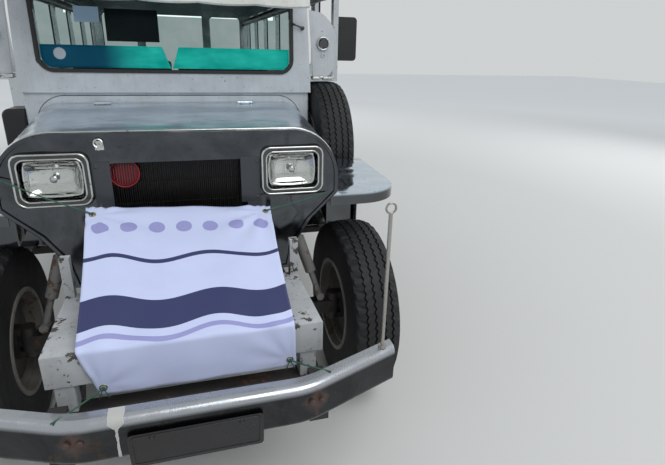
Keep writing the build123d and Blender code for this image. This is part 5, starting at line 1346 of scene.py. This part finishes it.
def stuffed_pad(size, voxel, long_axis):
    """A stuffed cushion's mesh, centred on the origin; its channels run across long_axis."""
    bm = bmesh.new()
    add_block(bm, (0, 0, 0), [length - 2 * PAD_CAP for length in size], 0.018, 3)
    pad = add_object("pad_start", mesh_from(bm, "pad_start"))
    fine = pad.modifiers.new("fine", "REMESH")
    fine.mode = "VOXEL"
    fine.voxel_size = voxel
    bpy.context.view_layer.update()
    graph = bpy.context.evaluated_depsgraph_get()
    even = bpy.data.meshes.new_from_object(pad.evaluated_get(graph))
    pad.modifiers.remove(fine)
    pad.data = even
    started = [vert.co.copy() for vert in even.vertices]
    swollen = started
    cloth = pad.modifiers.new("cloth", "CLOTH")
    cloth.settings.use_pressure = True
    cloth.settings.uniform_pressure_force = 4.0
    cloth.settings.effector_weights.gravity = 0.0
    for step in range(1, LAST_FRAME + 1):
        scene.frame_set(step)
    graph = bpy.context.evaluated_depsgraph_get()
    blown = pad.evaluated_get(graph).to_mesh()
    swollen = [vert.co.copy() for vert in blown.vertices]
    pad.modifiers.remove(cloth)
    scene.frame_set(1)
    half = size[long_axis] / 2
    spacing = 2 * half / (CHANNELS + 1)
    for vert, first, last in zip(even.vertices, started, swollen):
        moved = last - first
        if moved.length > PAD_CAP:
            moved = moved * (PAD_CAP / moved.length)
        at = first + moved
        along = (at[long_axis] + half) / spacing
        away = abs(along - round(along)) * spacing
        if 0 < round(along) <= CHANNELS:
            at.z -= math.copysign(CHANNEL_DEEP * math.exp(-((away / CHANNEL_HALF) ** 2)), at.z)
        vert.co = at
    bpy.data.objects.remove(pad)
    return even


def place_pad(name, mesh, centre, angle=0.0, axis="X", replaces=()):
    """A copy of a pad's mesh, turned and moved to its place on a seat."""
    bm = bmesh.new()
    bm.from_mesh(mesh)
    turn_about_origin(bm, bm.verts, angle, axis)
    bmesh.ops.translate(bm, vec=centre, verts=bm.verts)
    pad = finish_piece(name, bm, seat_vinyl, "body", replaces, smooth=True)


# %% Cushions and backs
cab_pad = stuffed_pad((0.655, 0.478, 0.086), 0.008, 0)
cab_back_pad = stuffed_pad((0.655, 0.472, 0.084), 0.008, 0)
bench_pad = stuffed_pad((0.464, 0.748, 0.086), 0.010, 1)
bench_back_pad = stuffed_pad((0.262, 0.748, 0.046), 0.010, 1)
SEAT_FRONT, SEAT_REAR = CAB_REAR - 0.23, CAB_REAR + 0.25
FIRST_PAD_Y, PAD_PITCH = CAB_REAR + 0.756, 0.7515
UPRIGHT = math.pi / 2
for index, pad_x in enumerate((-0.3285, 0.3285)):
    stands_for = ["cab_seat"] if index == 0 else []
    place_pad(f"cab_cushion_{index}", cab_pad, (pad_x, SEAT_FRONT + 0.240, 0.991), replaces=stands_for)
    place_pad(f"cab_back_{index}", cab_back_pad, (pad_x, SEAT_REAR + 0.041, 1.192), UPRIGHT, "X")
for sign, side in SIDES:
    for index in range(4):
        end = f"{side}_{index}"
        pad_y = FIRST_PAD_Y + index * PAD_PITCH
        stands_for = ["benches"] if end == "left_0" else []
        place_pad(f"bench_cushion_{end}", bench_pad, (sign * 0.6625, pad_y, 1.042), replaces=stands_for)
        place_pad(f"bench_back_{end}", bench_back_pad, (sign * 0.8765, pad_y, 1.213), UPRIGHT, "Y")

# %% [markdown]
# The cab's cushions lie on a painted sheet-metal box with two pressed panels. Their outlines are
# rounded rings sunk into its front, and two rails of tube carry the backs.

# %% The cab seat's box
bm = bmesh.new()
add_block(bm, (0, SEAT_REAR - 0.230, 0.798), (1.318, 0.416, 0.296), 0.012, 2)
for panel_x in (-0.33, 0.33):
    add_rounded_ring(bm, (panel_x, SEAT_FRONT + 0.0425, 0.80), 0.27, 0.105, 0.03, 0.005, steps=24, sides=6)
for bar_y in (SEAT_REAR - 0.005, SEAT_REAR + 0.083):
    add_rod(bm, (-0.655, bar_y, 0.955), (0.655, bar_y, 0.955), 0.009, 12)
finish_piece("cab_seat_box", bm, floor_metal)

# %% [markdown]
# ## Rolled rain curtains
#
# A vinyl curtain is rolled up over the windows of each side and tied at every pillar. The roll is
# one sheet: a flat grid wound into a spiral, squeezed where a strap ties it.

# %% Curtains
curtain_vinyl = soft_black("curtain_vinyl", (84, 92, 88), (124, 120, 110), 0.34, 150.0, 0.3, 0.5)
ROLL_START, ROLL_END = BODY_FRONT + 0.060, BODY_REAR - 0.040
ROLL_LEN = ROLL_END - ROLL_START
ROLL_X, ROLL_Z = 0.8627, 1.80
TIES = [ROLL_START + ROLL_LEN * (index + 0.5) / 6 for index in range(6)]
TURNS = 2.4
INNER_R, OUTER_R = 0.012, 0.0335
print("curtain length", round(ROLL_LEN, 3), "ties", len(TIES))


def roll_radius(share, y):
    """The spiral's radius, squeezed at the ties and rippled along its outer turns."""
    squeeze = max(math.exp(-(((y - tie) / 0.035) ** 2)) for tie in TIES)
    ripple = 0.0010 * math.sin(23 * y + 9 * share)
    return (INNER_R + (OUTER_R - INNER_R) * share) * (1 - 0.14 * squeeze) + ripple * share


# %% Roll and tie the curtains
for sign, side in SIDES:
    bm = bmesh.new()
    bmesh.ops.create_grid(bm, x_segments=72, y_segments=150, size=0.5)
    for vert in bm.verts:
        share, y = vert.co.x + 0.5, ROLL_START + (vert.co.y + 0.5) * ROLL_LEN
        angle = FULL_TURN * TURNS * share
        radius = roll_radius(share, y)
        vert.co = (sign * ROLL_X + radius * math.cos(angle), y, ROLL_Z + radius * math.sin(angle))
    flat_width = sum(face.calc_area() for face in bm.faces) / ROLL_LEN
    stands_for = ["rain_curtains"] if side == "left" else []
    name = f"rolled_curtain_{side}"
    curtain = finish_piece(name, bm, curtain_vinyl, "body", stands_for, smooth=True)
    thicken(curtain, 0.0012)
    bm = bmesh.new()
    for tie in TIES:
        strap_at = (sign * ROLL_X, tie, ROLL_Z)
        add_rounded_ring(bm, strap_at, OUTER_R, OUTER_R, 0.028, 0.0012, steps=24, sides=6, squash=7.0)
        add_block(bm, (sign * ROLL_X, tie, ROLL_Z - 0.0345), (0.020, 0.022, 0.003), 0.0008)
    straps = finish_piece(f"curtain_straps_{side}", bm, moulded_black, smooth=True)
    print("curtain", side, "flat width", round(flat_width, 3))

# %% [markdown]
# ## Floor and finish
#
# The floor is one pale plane that isn't part of the object, and it pales further off.

# %% Floor
floor_finish, shader = start_finish("studio_floor", roughness=0.9)
distance = add_node(shader.id_data, "VectorMath", {0: place_of(shader)}, operation="LENGTH")
# Paler further off: painted light that makes up for the lamps' fall-off.
far = span(distance.outputs["Value"], 4.0, 13.0)
feed(shader.inputs["Base Color"], mixed(far, (204, 204, 202), (0.98, 0.99, 0.99, 1)))
bm = bmesh.new()
bmesh.ops.create_grid(bm, x_segments=1, y_segments=1, size=30)
mesh = mesh_from(bm, "studio_floor")
mesh.materials.append(floor_finish)
add_object("studio_floor", mesh)
